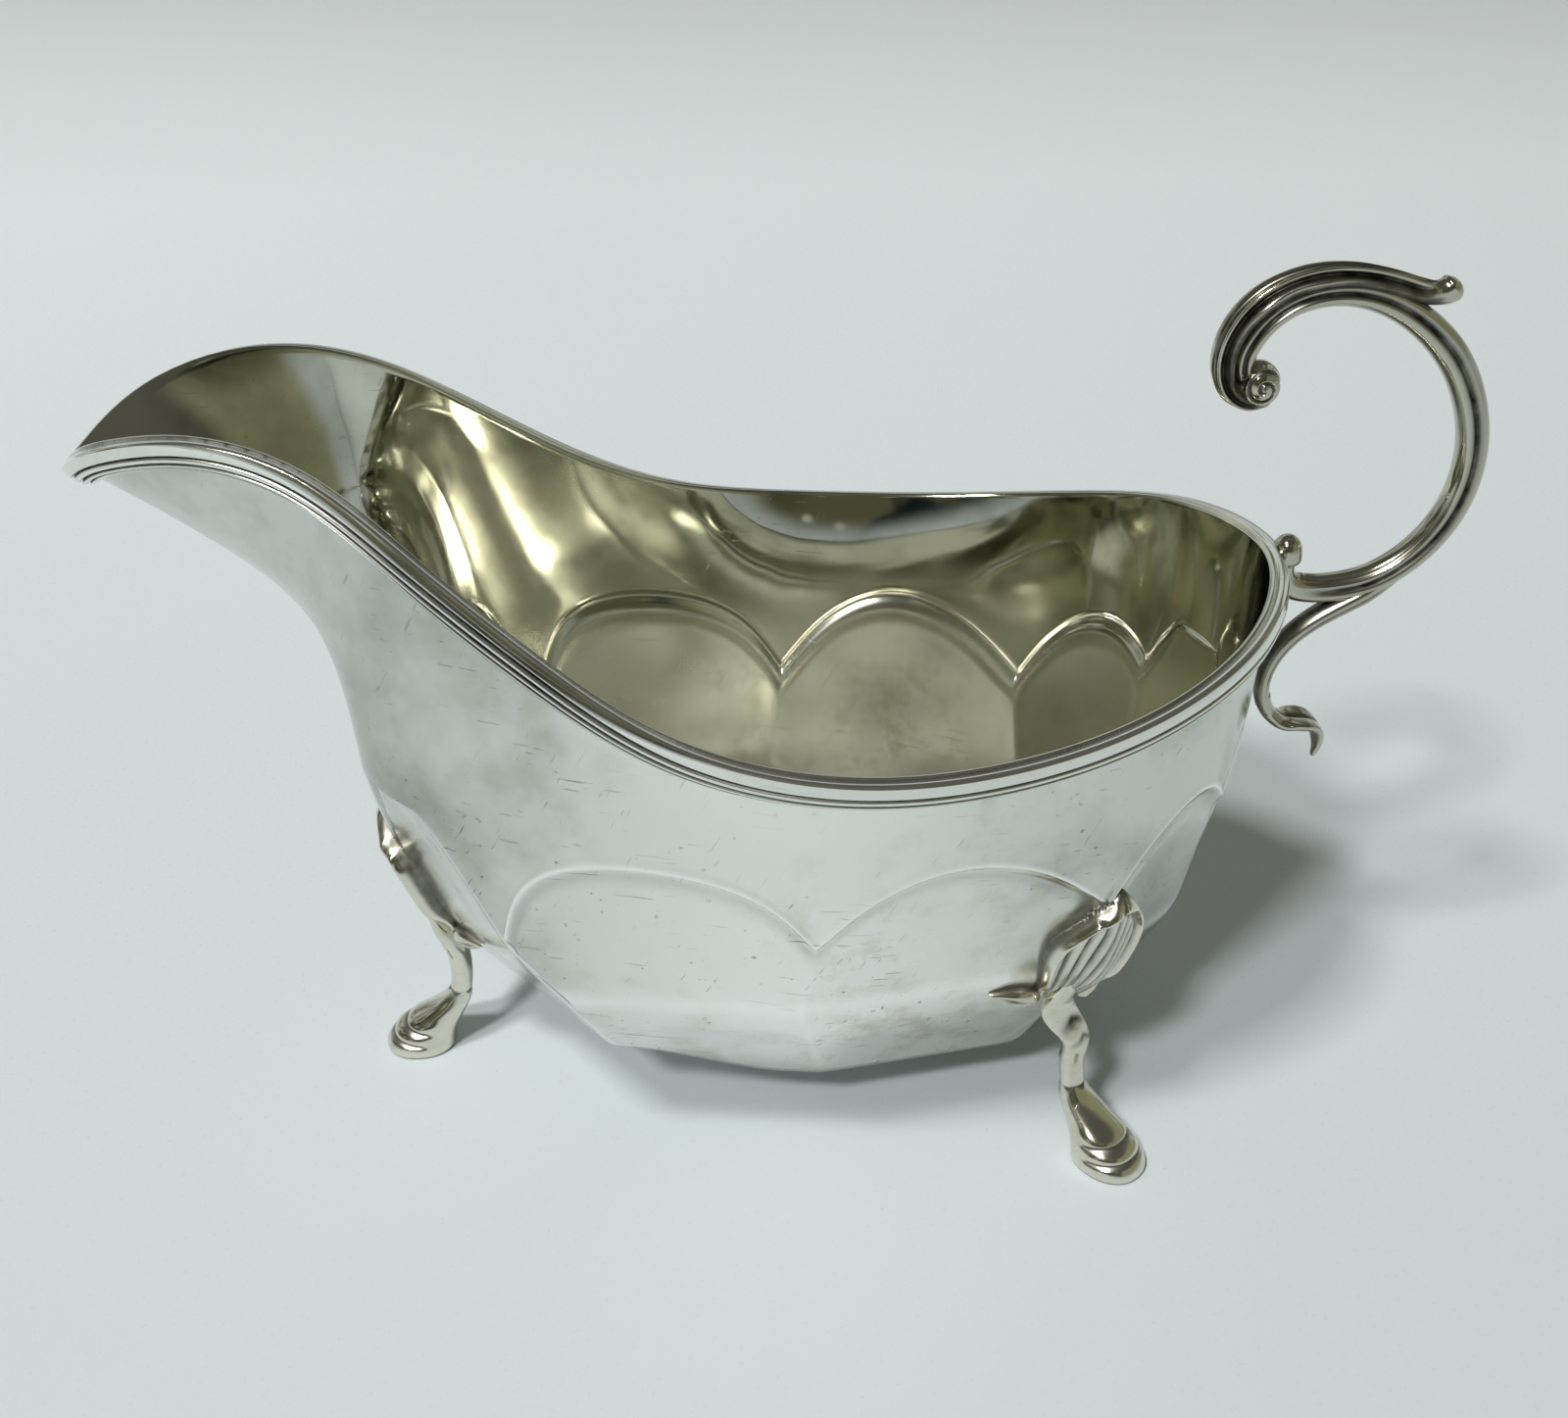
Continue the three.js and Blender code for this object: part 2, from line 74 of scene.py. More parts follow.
def silver_piece(name, grid, node, material, tarnish_and_shade=0, highlight=0, ring=False):
    """A closed body from a grid[row, column, xyz] in millimetres that wraps round its columns.

    A ring's last row is followed by its first. Any other body's first and last row are closed by a fan of
    triangles to their middle; a fan's face names that middle twice, as its first and its last corner.
    """
    rows, columns, _ = grid.shape
    count = rows * columns
    points = grid.reshape(-1, 3)
    if ring:
        faces = grid_quads(rows + 1, columns) % count
    else:
        points = np.vstack([points, grid[0].mean(0), grid[-1].mean(0)])
        first, last = np.arange(columns), np.arange(count - columns, count)
        low, high = np.full(columns, count), np.full(columns, count + 1)
        fan_low = np.stack([low, np.roll(first, -1), first, low], -1)
        fan_high = np.stack([high, last, np.roll(last, -1), high], -1)
        faces = np.vstack([grid_quads(rows, columns), fan_low, fan_high])
    if signed_volume(points, faces) < 0:
        faces = faces[:, ::-1]
    mesh = bpy.data.meshes.new(name)
    mesh.from_pydata((points * MM).tolist(), [], [f[:3] if f[0] == f[3] else f for f in faces.tolist()])
    mesh.polygons.foreach_set("use_smooth", np.ones(len(faces), bool))
    for key, values in (("tarnish_and_shade", tarnish_and_shade), ("highlight", highlight)):
        values = np.broadcast_to(values, (rows, columns)).reshape(-1).astype(np.float32)
        if not ring:
            values = np.append(values, [values[:columns].mean(), values[-columns:].mean()])
        mesh.attributes.new(key, "FLOAT", "POINT").data.foreach_set("value", values)
    mesh.materials.append(material)
    mesh.validate()
    piece = bpy.data.objects.new(name, mesh)
    bpy.context.scene.collection.objects.link(piece)
    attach(piece, "root")
    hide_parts(node)
    print(f"{name}: {len(faces)} faces")
    return piece


# %% Curve helpers
def spline(points, count, closed=False):
    """Natural (or closed) cubic spline through points, by chord length, at count equal steps."""
    p = np.asarray(points, float)
    if closed:
        p = np.vstack([p[-3:], p, p[:4]])
    chord = np.linalg.norm(np.diff(p, axis=0), axis=1)
    t = np.concatenate([[0], np.cumsum(chord)])
    n = len(p)
    system = np.eye(n)
    right = np.zeros_like(p)
    k = np.arange(1, n - 1)
    system[k, k - 1] = chord[:-1]
    system[k, k] = 2 * (chord[:-1] + chord[1:])
    system[k, k + 1] = chord[1:]
    slope = np.diff(p, axis=0) / chord[:, None]
    right[1:-1] = 6 * np.diff(slope, axis=0)
    bend = np.linalg.solve(system, right)
    at = np.linspace(t[3], t[-4], count, endpoint=False) if closed else np.linspace(0, t[-1], count)
    i = np.clip(np.searchsorted(t, at, side="right") - 1, 0, n - 2)
    h = chord[i][:, None]
    a = (t[i + 1] - at)[:, None]
    b = (at - t[i])[:, None]
    straight = (p[i] / h - bend[i] * h / 6) * a + (p[i + 1] / h - bend[i + 1] * h / 6) * b
    return bend[i] * a**3 / (6 * h) + bend[i + 1] * b**3 / (6 * h) + straight


def smooth01(x):
    """0 below 0, 1 above 1, and 3x^2 - 2x^3 between."""
    x = np.clip(x, 0, 1)
    return x * x * (3 - 2 * x)


def dent(x, middle, width):
    """A bell of height 1 at middle."""
    return np.exp(-(((x - middle) / width) ** 2))


# %% [markdown]
# ## The bowl's form
#
# A silversmith raises a round body first, and then flattens panels on it over a stake. We do the same.
# The round body is a set of meridians: at each angle round the axis a cubic B-spline climbs from the
# middle of the floor, over four squared ovals, past a neck, to a point of the rim. Because the rim swoops
# up into the lip, the meridians in front are pulled out into the pouring channel.

# %% Rim line and level ovals
RIM_HALF = np.array([
    (-85, 0, 90.8), (-82.3, 6.5, 93.4), (-76.5, 12, 96.6), (-67, 16.1, 98.4), (-55.6, 19.6, 96.2),
    (-43, 25.4, 88), (-30, 30.8, 78.2), (-16, 36.5, 70.6), (3, 40.1, 66.9), (21.2, 38, 66.8),
    (39.4, 31.2, 69.2), (51.5, 21.6, 72.3), (57.5, 11, 73.9), (59.8, 0, 74.3)])
FLOOR_Z = 7.6
# height, reach to the front, reach to the rear, half width, power in front, power at the rear
OVALS = [
    (7.6, 44, 44.5, 27.5, 2.2, 2.2), (8.8, 53, 53.5, 33, 2.5, 2.3),
    (30, 50.5, 53.5, 32.2, 2.67, 2.7), (48.8, 57.6, 58, 36.4, 2.65, 2.18)]
# how far out the neck lies from the last oval to the rim, and how far up, at the sides and in front
NECK_MIX, NECK_RISE = (0.28, -0.32), (0.58, 0.45)
# the bottom climbs by the rise towards the lip, over the run from the start, up to the reach above the floor
KEEL_RISE, KEEL_START, KEEL_RUN, KEEL_REACH = 5.8, -3, 22, 24
WALL = 1.1


def rim_line(count):
    """The closed rim, from the tip of the lip round the near side, the rear and the far side."""
    near = RIM_HALF * [1, -1, 1]
    return spline(np.vstack([near, RIM_HALF[-2:0:-1]]), count, closed=True)


rim_dense = rim_line(4000)
rim_angle = np.unwrap(np.arctan2(rim_dense[:, 1], rim_dense[:, 0]))
rim_angle += -np.pi - rim_angle[0]


def rim_at(angle):
    """The rim's distance from the axis and its height at an angle."""
    a = (angle + np.pi) % (2 * np.pi) - np.pi
    order_angle = np.append(rim_angle, np.pi)
    reach = np.append(np.hypot(rim_dense[:, 0], rim_dense[:, 1]), np.hypot(*rim_dense[0, :2]))
    height = np.append(rim_dense[:, 2], rim_dense[0, 2])
    return np.interp(a, order_angle, reach), np.interp(a, order_angle, height)


def oval_reach(angle, oval):
    """Superellipse in polar form: (|cos/a|^n + |sin/b|^n)^(-1/n), with other a and n in front and behind."""
    _, front, rear, side, n_front, n_rear = oval
    c, s = np.cos(angle), np.sin(angle)
    a = np.where(c < 0, front, rear)
    n = np.where(c < 0, n_front, n_rear)
    return (np.abs(c / a) ** n + np.abs(s / side) ** n) ** (-1 / n)


def bspline_weights(s, controls):
    """Weights of a clamped uniform cubic B-spline at s in 0..1, by the Cox-de Boor rule."""
    knots = np.concatenate([np.zeros(3), np.linspace(0, 1, controls - 2), np.ones(3)])
    s = np.minimum(s, 1 - 1e-9)[..., None]
    w = ((s >= knots[:-1]) & (s < knots[1:])).astype(float)
    for degree in (1, 2, 3):
        left = knots[degree:-1] - knots[:-degree - 1]
        right = knots[degree + 1:] - knots[1:-degree]
        up = (s - knots[:-degree - 1]) / np.where(left > 0, left, 1)
        down = (knots[degree + 1:] - s) / np.where(right > 0, right, 1)
        w = up * w[..., :-1] + down * w[..., 1:]
    return w


def round_body(angle, s):
    """The raised form before its panels: B-spline meridians over the floor, the ovals, the neck and the rim."""
    reach, height = rim_at(angle)
    front = smooth01(-np.cos(angle))
    mix = NECK_MIX[0] + (NECK_MIX[1] - NECK_MIX[0]) * front
    rise = NECK_RISE[0] + (NECK_RISE[1] - NECK_RISE[0]) * front
    ovals = [oval_reach(angle, oval) for oval in OVALS]
    neck = ovals[-1] + (reach - ovals[-1]) * mix
    neck_z = OVALS[-1][0] + (height - OVALS[-1][0]) * rise
    level = np.ones_like(angle)
    r = np.stack([0 * level, *ovals, neck, reach], -1)
    z = np.stack([FLOOR_Z * level, *(oval[0] * level for oval in OVALS), neck_z, height], -1)
    w = bspline_weights(s, 7)
    radius, z = (w * r).sum(-1), (w * z).sum(-1)
    x = radius * np.cos(angle)
    low = np.clip(1 - (z - FLOOR_Z) / KEEL_REACH, 0, 1)
    z = z + KEEL_RISE * smooth01((KEEL_START - x) / KEEL_RUN) * low**2
    return np.stack([x, radius * np.sin(angle), z], -1)


def moved_in(surface, angle, s, distance):
    """A surface moved towards its inside: the cross product of its two slopes is its normal."""
    step = 1e-4
    here = surface(angle, s)
    if distance == 0:
        return here
    low, high = np.maximum(s - step, 1e-3), np.minimum(s + step, 1)
    round_slope = surface(angle + step, np.maximum(s, 1e-3)) - surface(angle - step, np.maximum(s, 1e-3))
    up_slope = surface(angle, high) - surface(angle, low)
    normal = np.cross(round_slope, up_slope)
    return here - distance * normal / np.linalg.norm(normal, axis=-1, keepdims=True)


print("rim length, mm:", round(float(np.linalg.norm(np.diff(rim_dense, axis=0), axis=1).sum())))

# %% [markdown]
# ## Ten flat panels
#
# Each panel is two planes: a side plane through the two points where its arch starts, leaning outwards a
# little, and a floor plane hinged under it. A point of the round body slides along its ray towards the
# heart of the bowl until it is inside every plane, which flattens the panels and leaves the arches where the
# planes come out of the curved wall. Taking a soft minimum over the planes keeps each crease slightly round,
# as hammered metal is.

# %% Panel planes
ARCH_FEET = np.array([
    [(-57.3, 0, 40), (-36.4, 30.6, 41)], [(-35.7, 31.2, 46.9), (-0.4, 34.5, 40.3)],
    [(-0.4, 34.5, 40.3), (35.5, 29.2, 41.2)], [(35.5, 29.2, 41.2), (51, 16.5, 43)],
    [(51, 16.5, 43), (56.4, 0, 44)]])
PANEL_LEAN = np.radians([19, 15, 17, 14, 12])
PANEL_FOLD = np.array([(22.5, 38.5), (28, 28), (28, 28), (28, 28), (24, 24)])  # height at the panel's two ends
PANEL_TURN = np.radians([12.5, 15, 10.5, 16, 17])  # how far each floor facet turns under from its panel
HEART = np.array([0, 0, 52.0])
CEILING = (57, 67)  # the panels fade out between these heights, below the lip's flare


def panel_planes():
    """Outward normals and distances of the side planes and the floor planes, one row per half panel.

    The floor plane is the side plane turned about the fold line, by a rotation of its normal.
    """
    a, b = ARCH_FEET[:, 0], ARCH_FEET[:, 1]
    along = b - a
    level = np.stack([-along[:, 1], along[:, 0], np.zeros(5)], -1)
    level /= np.linalg.norm(level, axis=1, keepdims=True)
    level *= np.sign((level * (a + b)).sum(1, keepdims=True))
    up = level * np.sin(PANEL_LEAN)[:, None] + [0, 0, 1] * np.cos(PANEL_LEAN)[:, None]
    side = np.cross(along, up)
    side /= np.linalg.norm(side, axis=1, keepdims=True)
    side *= np.sign((side * level).sum(1, keepdims=True))
    fold_a = a + up * ((PANEL_FOLD[:, 0] - a[:, 2]) / up[:, 2])[:, None]
    fold_b = b + up * ((PANEL_FOLD[:, 1] - b[:, 2]) / up[:, 2])[:, None]
    upwards = np.cross(fold_b - fold_a, side)
    upwards /= np.linalg.norm(upwards, axis=1, keepdims=True)
    upwards *= np.sign(upwards[:, 2:])
    floor = side * np.cos(PANEL_TURN)[:, None] - upwards * np.sin(PANEL_TURN)[:, None]
    return side, (side * a).sum(1), floor, (floor * fold_a).sum(1)


def mirrored(normals, distances):
    """The same planes on both sides of the boat."""
    return np.vstack([normals, normals * [1, -1, 1]]), np.concatenate([distances, distances])


side_n, side_d, floor_n, floor_d = panel_planes()
SIDES, FLOORS = mirrored(side_n, side_d), mirrored(floor_n, floor_d)


def shares(points, planes, inset):
    """How far along its ray from the heart each point may go before each plane, as a share of the ray."""
    normals, distances = planes
    ray = points - HEART
    room = distances - inset - normals @ HEART
    return np.minimum(room / np.maximum(ray @ normals.T, 1e-6), 4)


def flattened(points, inset, roundness=0.0035, fold_roundness=0.03):
    """Slides points towards the heart to the soft minimum of the planes' shares and 1."""
    fade = 3 * smooth01((points[..., 2] - CEILING[0]) / (CEILING[1] - CEILING[0]))[..., None]
    side, floor = shares(points, SIDES, inset) + fade, shares(points, FLOORS, inset) + fade

    def soft_min(values, width):
        least = values.min(-1, keepdims=True)
        return least[..., 0] - width * np.log(np.exp(-(values - least) / width).sum(-1))

    pair = np.stack([soft_min(side, roundness), soft_min(floor, roundness)], -1)
    fold = fold_roundness * np.log(2) * dent(pair[..., 0] - pair[..., 1], 0, 0.05)
    panel = soft_min(pair, fold_roundness) + fold
    k = soft_min(np.stack([panel, np.ones_like(panel)], -1), roundness)
    return HEART + (points - HEART) * k[..., None]


print("planes:", len(SIDES[1]) + len(FLOORS[1]))

# %% [markdown]
# ## A grid that follows the creases
#
# A crease looks crisp only when an edge of the mesh runs along it. So the bowl's columns follow the seams
# between panels, and its rows follow the edge of the floor, the fold of each panel and the arches. We look
# along each meridian on a coarse trial grid for the places where the planes take over from each other, and
# then lay the fine rows between those places, closer together where a crease is.

# %% Columns along the seams
SEAM_ANGLE = np.radians([-180, -139, -90.7, -39.4, -17.9, 0])
PANEL_COLUMNS = (46, 44, 40, 26, 24)
TRIAL = np.linspace(0.002, 1, 260)


def panel_share(points, k, inset):
    """The share at which a ray meets half panel k of the near side, or its floor facet."""
    side = shares(points, (SIDES[0][5 + k:6 + k], SIDES[1][5 + k:6 + k]), inset)[..., 0]
    floor = shares(points, (FLOORS[0][5 + k:6 + k], FLOORS[1][5 + k:6 + k]), inset)[..., 0]
    return np.minimum(side, floor)


def seam_path(k):
    """The angle at which the seam before panel k lies, for every trial step up the meridian."""
    if k in (0, 5):
        return np.full_like(TRIAL, SEAM_ANGLE[k])
    swing = np.radians(np.linspace(-7, 7, 141))
    angle = SEAM_ANGLE[k] + swing[:, None] + 0 * TRIAL
    points = round_body(angle, TRIAL + 0 * angle)
    first, second = panel_share(points, k - 1, 0), panel_share(points, k, 0)
    best = np.abs(first - second).argmin(0)
    path = swing[best]
    inside = np.minimum(first, second)[best, np.arange(len(TRIAL))] < 1
    top, low = np.nonzero(inside)[0].max(), np.nonzero(inside)[0].min()
    path[top:] = path[top]
    path[:low] = path[low]
    window = np.hanning(15)
    padded = np.pad(path, 7, mode="edge")
    return SEAM_ANGLE[k] + np.convolve(padded, window / window.sum(), mode="valid")


def gathered(count, pull=0.65):
    """Fractions from 0 up to 1 that crowd at both ends, as the panels' columns do at their seams."""
    even = np.arange(count) / count
    return (1 - pull) * even + pull * smooth01(even)


seams = np.array([seam_path(k) for k in range(6)])
near = [seams[k] + (seams[k + 1] - seams[k]) * gathered(n)[:, None] for k, n in enumerate(PANEL_COLUMNS)]
near = np.vstack(near)
far = -near[1:][::-1]
columns_angle = np.vstack([near, np.zeros((1, len(TRIAL))), far])
print("columns round the bowl:", len(columns_angle))

# %% Rows along the floor's edge, the folds and the arches
ROW_COUNTS = (16, 22, 34, 54)
FOLD_ROW, ARCH_ROW = sum(ROW_COUNTS[:2]), sum(ROW_COUNTS[:3])
ARCH_BEAD, ARCH_HOLLOW = (0.34, 0.3, 0.7), (0.30, -1.7, 1.5)  # height or depth, place past the arch, and width
PRESS_FADE = 2.5


def creases(inset):
    """For each column, the three steps where the floor ends, the panel folds and the arch begins."""
    s = TRIAL + 0 * columns_angle
    points = moved_in(round_body, columns_angle, s, inset)
    fade = 3 * smooth01((points[..., 2] - CEILING[0]) / (CEILING[1] - CEILING[0]))
    side = shares(points, SIDES, inset).min(-1) + fade
    floor = shares(points, FLOORS, inset).min(-1) + fade
    least = np.minimum(side, floor)

    def crossing(values, index):
        a = np.take_along_axis(values, index[:, None], 1)[:, 0]
        b = np.take_along_axis(values, index[:, None] + 1, 1)[:, 0]
        return TRIAL[index] + (TRIAL[index + 1] - TRIAL[index]) * np.clip(a / (a - b + 1e-12), 0, 1)

    cut = least < 1
    base = crossing(least - 1, np.maximum(cut.argmax(1) - 1, 0))
    arch = crossing(least - 1, len(TRIAL) - 1 - cut[:, ::-1].argmax(1))
    folded = (floor < side) & cut
    fold = crossing(floor - side, len(TRIAL) - 2 - folded[:, ::-1][:, 1:].argmax(1))
    return base, np.clip(fold, base + 0.02, arch - 0.02), arch


def skin(inset):
    """The bowl's outer or inner skin as grid[row, column]: the round body, moved in and flattened.

    Along every arch the metal was driven harder, which leaves a low bead above its line and a hollow below. They
    die away where an arch comes near the ceiling. Returns the grid, each point's way along its column past the
    arch and past the fold, and how hard each column was pressed.
    """
    stops = np.stack([np.zeros(len(columns_angle)), *creases(inset), np.ones(len(columns_angle))])
    rows = [a + (b - a) * gathered(n, 0.55)[:, None] for a, b, n in zip(stops, stops[1:], ROW_COUNTS)]
    s = np.vstack([*rows, stops[-1:]])
    angle = np.stack([np.interp(column, TRIAL, path) for column, path in zip(s.T, columns_angle)], 1)
    points = flattened(moved_in(round_body, angle, s, inset), inset)
    walked = np.cumsum(np.linalg.norm(np.diff(points, axis=0, prepend=points[:1]), axis=-1), axis=0)
    past_fold, climb = walked - walked[FOLD_ROW], walked - walked[ARCH_ROW]
    pressed = smooth01((CEILING[0] - points[ARCH_ROW, :, 2]) / PRESS_FADE)
    bead = ARCH_BEAD[0] * dent(climb, *ARCH_BEAD[1:]) - ARCH_HOLLOW[0] * dent(climb, *ARCH_HOLLOW[1:])
    out = points * [1, 1, 0]
    out /= np.maximum(np.linalg.norm(out, axis=-1, keepdims=True), 1e-6)
    return points + (pressed * bead)[..., None] * out, climb, past_fold, pressed


(outer, outer_climb, past_fold, pressed), (inner, inner_climb, _, _) = skin(0), skin(WALL)
print("outer skin:", outer.shape, "from", outer[..., 2].min().round(2), "to", outer[..., 2].max().round(2), "mm")

# %% [markdown]
# ## Silver
#
# Polished silver is a metal with almost no colour of its own: what makes it silver is how sharp its
# reflections are. The inside of the bowl is bright, the outside has been cleaned to a soft satin with
# hair-fine scratches, and a thin grey-brown stain stays wherever a cloth can't reach. Light and shade are
# painted into the colour too: darker clouds of painted shade, painted highlights, and black that is groove
# oxide on most pieces and painted shade in a few. One recipe makes all the finishes; only its numbers
# change. All its patterns are in object coordinates, in metres.

# %% The silver recipe
BRIGHT = (0.985, 0.98, 0.955, 1)
WARM = (0.56, 0.52, 0.40, 1)
SCRATCHED = (0.30, 0.30, 0.27, 1)
END_SHADE_GREY, UPPER_SHADE_OLIVE = (0.37, 0.395, 0.34, 1), (0.30, 0.31, 0.23, 1)
TARNISH_AND_SHADE_BLACK = (0.022, 0.022, 0.018, 1)


class Nodes:
    """A short way to add shader nodes and join them."""

    def __init__(self, material):
        material.use_nodes = True
        self.tree = material.node_tree
        self.tree.nodes.clear()

    def add(self, kind, **settings):
        node = self.tree.nodes.new("ShaderNode" + kind)
        for key, value in settings.items():
            if key.startswith("in_"):
                node.inputs[key[3:].replace("_", " ")].default_value = value
            else:
                setattr(node, key, value)
        return node

    def join(self, source, target):
        self.tree.links.new(source, target)

    def scaled(self, scale, turned=(0, 0, 0)):
        """Object coordinates, turned and then stretched by a scale along each axis."""
        place = self.add("TexCoord")
        mapping = self.add("Mapping", vector_type="TEXTURE", in_Rotation=turned)
        mapping.inputs["Scale"].default_value = [1 / v for v in scale]
        self.join(place.outputs["Object"], mapping.inputs["Vector"])
        return mapping.outputs["Vector"]

    def noise(self, scale, detail=4, roughness=0.55, vector=None):
        n = self.add("TexNoise", in_Scale=scale, in_Detail=detail, in_Roughness=roughness)
        self.join(vector or self.scaled((1, 1, 1)), n.inputs["Vector"])
        return n.outputs["Fac"]

    def ramp(self, value, stops):
        """A colour ramp from value, through (position, grey) stops."""
        r = self.add("ValToRGB")
        elements = r.color_ramp.elements
        while len(elements) < len(stops):
            elements.new(0.5)
        for element, (position, grey) in zip(elements, stops):
            element.position = position
            element.color = (grey, grey, grey, 1)
        self.join(value, r.inputs["Fac"])
        return r.outputs["Color"]

    def maths(self, operation, a, b):
        m = self.add("Math", operation=operation)
        for socket, value in zip(m.inputs, (a, b)):
            if isinstance(value, (int, float)):
                socket.default_value = value
            else:
                self.join(value, socket)
        return m.outputs["Value"]

    def blend(self, share, a, b):
        """A colour between a and b; each is a colour or a socket."""
        m = self.add("Mix", data_type="RGBA")
        self.join(share, m.inputs[0])
        for socket, value in ((m.inputs[6], a), (m.inputs[7], b)):
            if isinstance(value, tuple):
                socket.default_value = value
            else:
                self.join(value, socket)
        return m.outputs[2]

    def hairlines(self, scale, turned, threshold):
        """Fine scratches: a noise stretched along one direction, kept only where it is highest."""
        stretched = self.noise(1, 2, 0.5, self.scaled(scale, turned))
        return self.ramp(stretched, [(threshold, 0), (threshold + 0.03, 1)])


def silver(name, colour, polish, haze, scratches, stain, ripple, painted_shade=None, dull=0):
    """Silver of a colour: polish and haze are the least and the most roughness, scratches and stain the strength
    of the marks and of the warm stains, and ripple the height of the hammer marks.

    A painted shade darkens the metal in clouds away from a middle, standing in for darker things that the
    metal mirrors. It is an axis, a middle on it, how far from the middle it starts and is full, its colour and
    its share. Dull is a roughness added where that painted shade is absent.
    """
    material = bpy.data.materials.new(name)
    n = Nodes(material)
    shader = n.add("BsdfPrincipled", in_Metallic=1.0)
    n.join(shader.outputs["BSDF"], n.add("OutputMaterial").inputs["Surface"])
    # The first attribute holds black groove oxide, and painted shade under the bowl's arches and the handle's leaf;
    # the second holds painted highlights.
    groove = n.add("Attribute", attribute_name="tarnish_and_shade").outputs["Fac"]
    edge = n.add("Attribute", attribute_name="highlight").outputs["Fac"]
    cloud = n.noise(22, 5, 0.6)
    patch = n.ramp(n.noise(170, 6, 0.7), [(0.47, 0), (0.62, 1)])
    level_marks = n.hairlines((110, 600, 2900), (0, 0.12, 0), 0.69)
    steep_marks = n.hairlines((2600, 700, 190), (0, 0.5, 0), 0.70)
    fine = n.maths("MAXIMUM", level_marks, steep_marks)
    pits = n.ramp(n.noise(1100, 1, 0.3), [(0.76, 0), (0.79, 1)])
    handled = n.ramp(n.noise(45, 3), [(0.40, 0.1), (0.6, 1)])
    marks = n.maths("MULTIPLY", n.maths("MAXIMUM", fine, pits), handled)
    stained = n.maths("MULTIPLY", n.maths("MULTIPLY", patch, n.ramp(cloud, [(0.40, 0), (0.65, 1)])), stain)
    tone = n.blend(stained, colour, WARM)
    # Painted shade: darker clouds that grow away from a middle along one axis.
    if painted_shade:
        axis, middle, start, full, grey, share = painted_shade
        place = n.add("SeparateXYZ")
        n.join(n.add("TexCoord").outputs["Object"], place.inputs[0])
        shade_share = n.add("MapRange", interpolation_type="SMOOTHSTEP", in_From_Min=start, in_From_Max=full)
        off = n.maths("ABSOLUTE", n.maths("SUBTRACT", place.outputs[axis], middle), 0)
        n.join(off, shade_share.inputs["Value"])
        clouds = n.maths("MULTIPLY", n.ramp(cloud, [(0.42, 0.4), (0.60, 1)]), share)
        tone = n.blend(n.maths("MULTIPLY", shade_share.outputs["Result"], clouds), tone, grey)
    tone = n.blend(n.maths("MULTIPLY", marks, scratches), tone, SCRATCHED)
    # Painted highlights brighten the colour.
    tone = n.blend(edge, tone, BRIGHT)
    # Blackened by groove oxide, and by painted shade where the first attribute carries it.
    blackened = n.maths("MULTIPLY", groove, n.ramp(n.noise(420, 4), [(0.30, 0.75), (0.62, 1)]))
    n.join(n.blend(blackened, tone, TARNISH_AND_SHADE_BLACK), shader.inputs["Base Color"])
    rough = n.add("MapRange", in_To_Min=polish, in_To_Max=haze)
    n.join(n.ramp(n.noise(60, 6, 0.6), [(0.3, 0), (0.7, 1)]), rough.inputs["Value"])
    rough = n.maths("ADD", rough.outputs["Result"], n.maths("MULTIPLY", marks, 0.2 * scratches))
    rough = n.maths("ADD", rough, n.maths("MULTIPLY", blackened, 0.35))
    if dull:
        bare = n.maths("SUBTRACT", 1, shade_share.outputs["Result"])
        rough = n.maths("ADD", rough, n.maths("MULTIPLY", bare, dull))
    n.join(n.maths("SUBTRACT", rough, n.maths("MULTIPLY", edge, 0.6 * polish)), shader.inputs["Roughness"])
    hammered = n.maths("MULTIPLY", n.noise(55, 2), ripple)
    bump = n.add("Bump", in_Strength=0.6, in_Distance=0.0006)
    n.join(n.maths("ADD", hammered, n.maths("MULTIPLY", marks, -0.03 * scratches)), bump.inputs["Height"])
    n.join(bump.outputs["Normal"], shader.inputs["Normal"])
    print("finish:", name)
    return material


# %% The five finishes
SATIN, KHAKI = (0.885, 0.89, 0.855, 1), (0.90, 0.895, 0.79, 1)
# The handle's cast silver is painted much darker than the feet's: painted shade for the dark room that it mirrors.
REEDED, CAST, FOOT = (0.84, 0.84, 0.79, 1), (0.52, 0.505, 0.42, 1), (0.74, 0.72, 0.62, 1)
# Painted shade: the outside darkens in clouds towards both ends, and the inside above the arches, standing in for
# darker reflections.
PAINTED_SHADE_AT_ENDS = ("X", 0.0, 0.0, 0.048, END_SHADE_GREY, 1.0)
PAINTED_SHADE_ABOVE_ARCHES = ("Z", 0.0, 0.046, 0.056, UPPER_SHADE_OLIVE, 0.85)
bowl_outside = silver("satin_silver", SATIN, 0.10, 0.18, 1.0, 0.75, 0.25, PAINTED_SHADE_AT_ENDS)
bowl_inside = silver("mirror_silver", KHAKI, 0.03, 0.10, 0.3, 0.5, 0.2, PAINTED_SHADE_ABOVE_ARCHES, 0.14)
rim_silver = silver("reeded_silver", REEDED, 0.09, 0.18, 0.3, 0.3, 0.1)
cast_silver = silver("cast_silver", CAST, 0.08, 0.18, 0.3, 0.7, 0.2)
foot_silver = silver("foot_silver", FOOT, 0.08, 0.2, 0.3, 0.7, 0.2)

# %% [markdown]
# ## The bowl as one closed sheet
#
# The outer skin runs from the middle of the floor up to the rim, the rim's edge is a half round, and the
# inner skin runs back down to the floor. Laid end to end they are one grid, so the sheet closes itself.

# %% Bowl mesh
EDGE_STEPS = 5


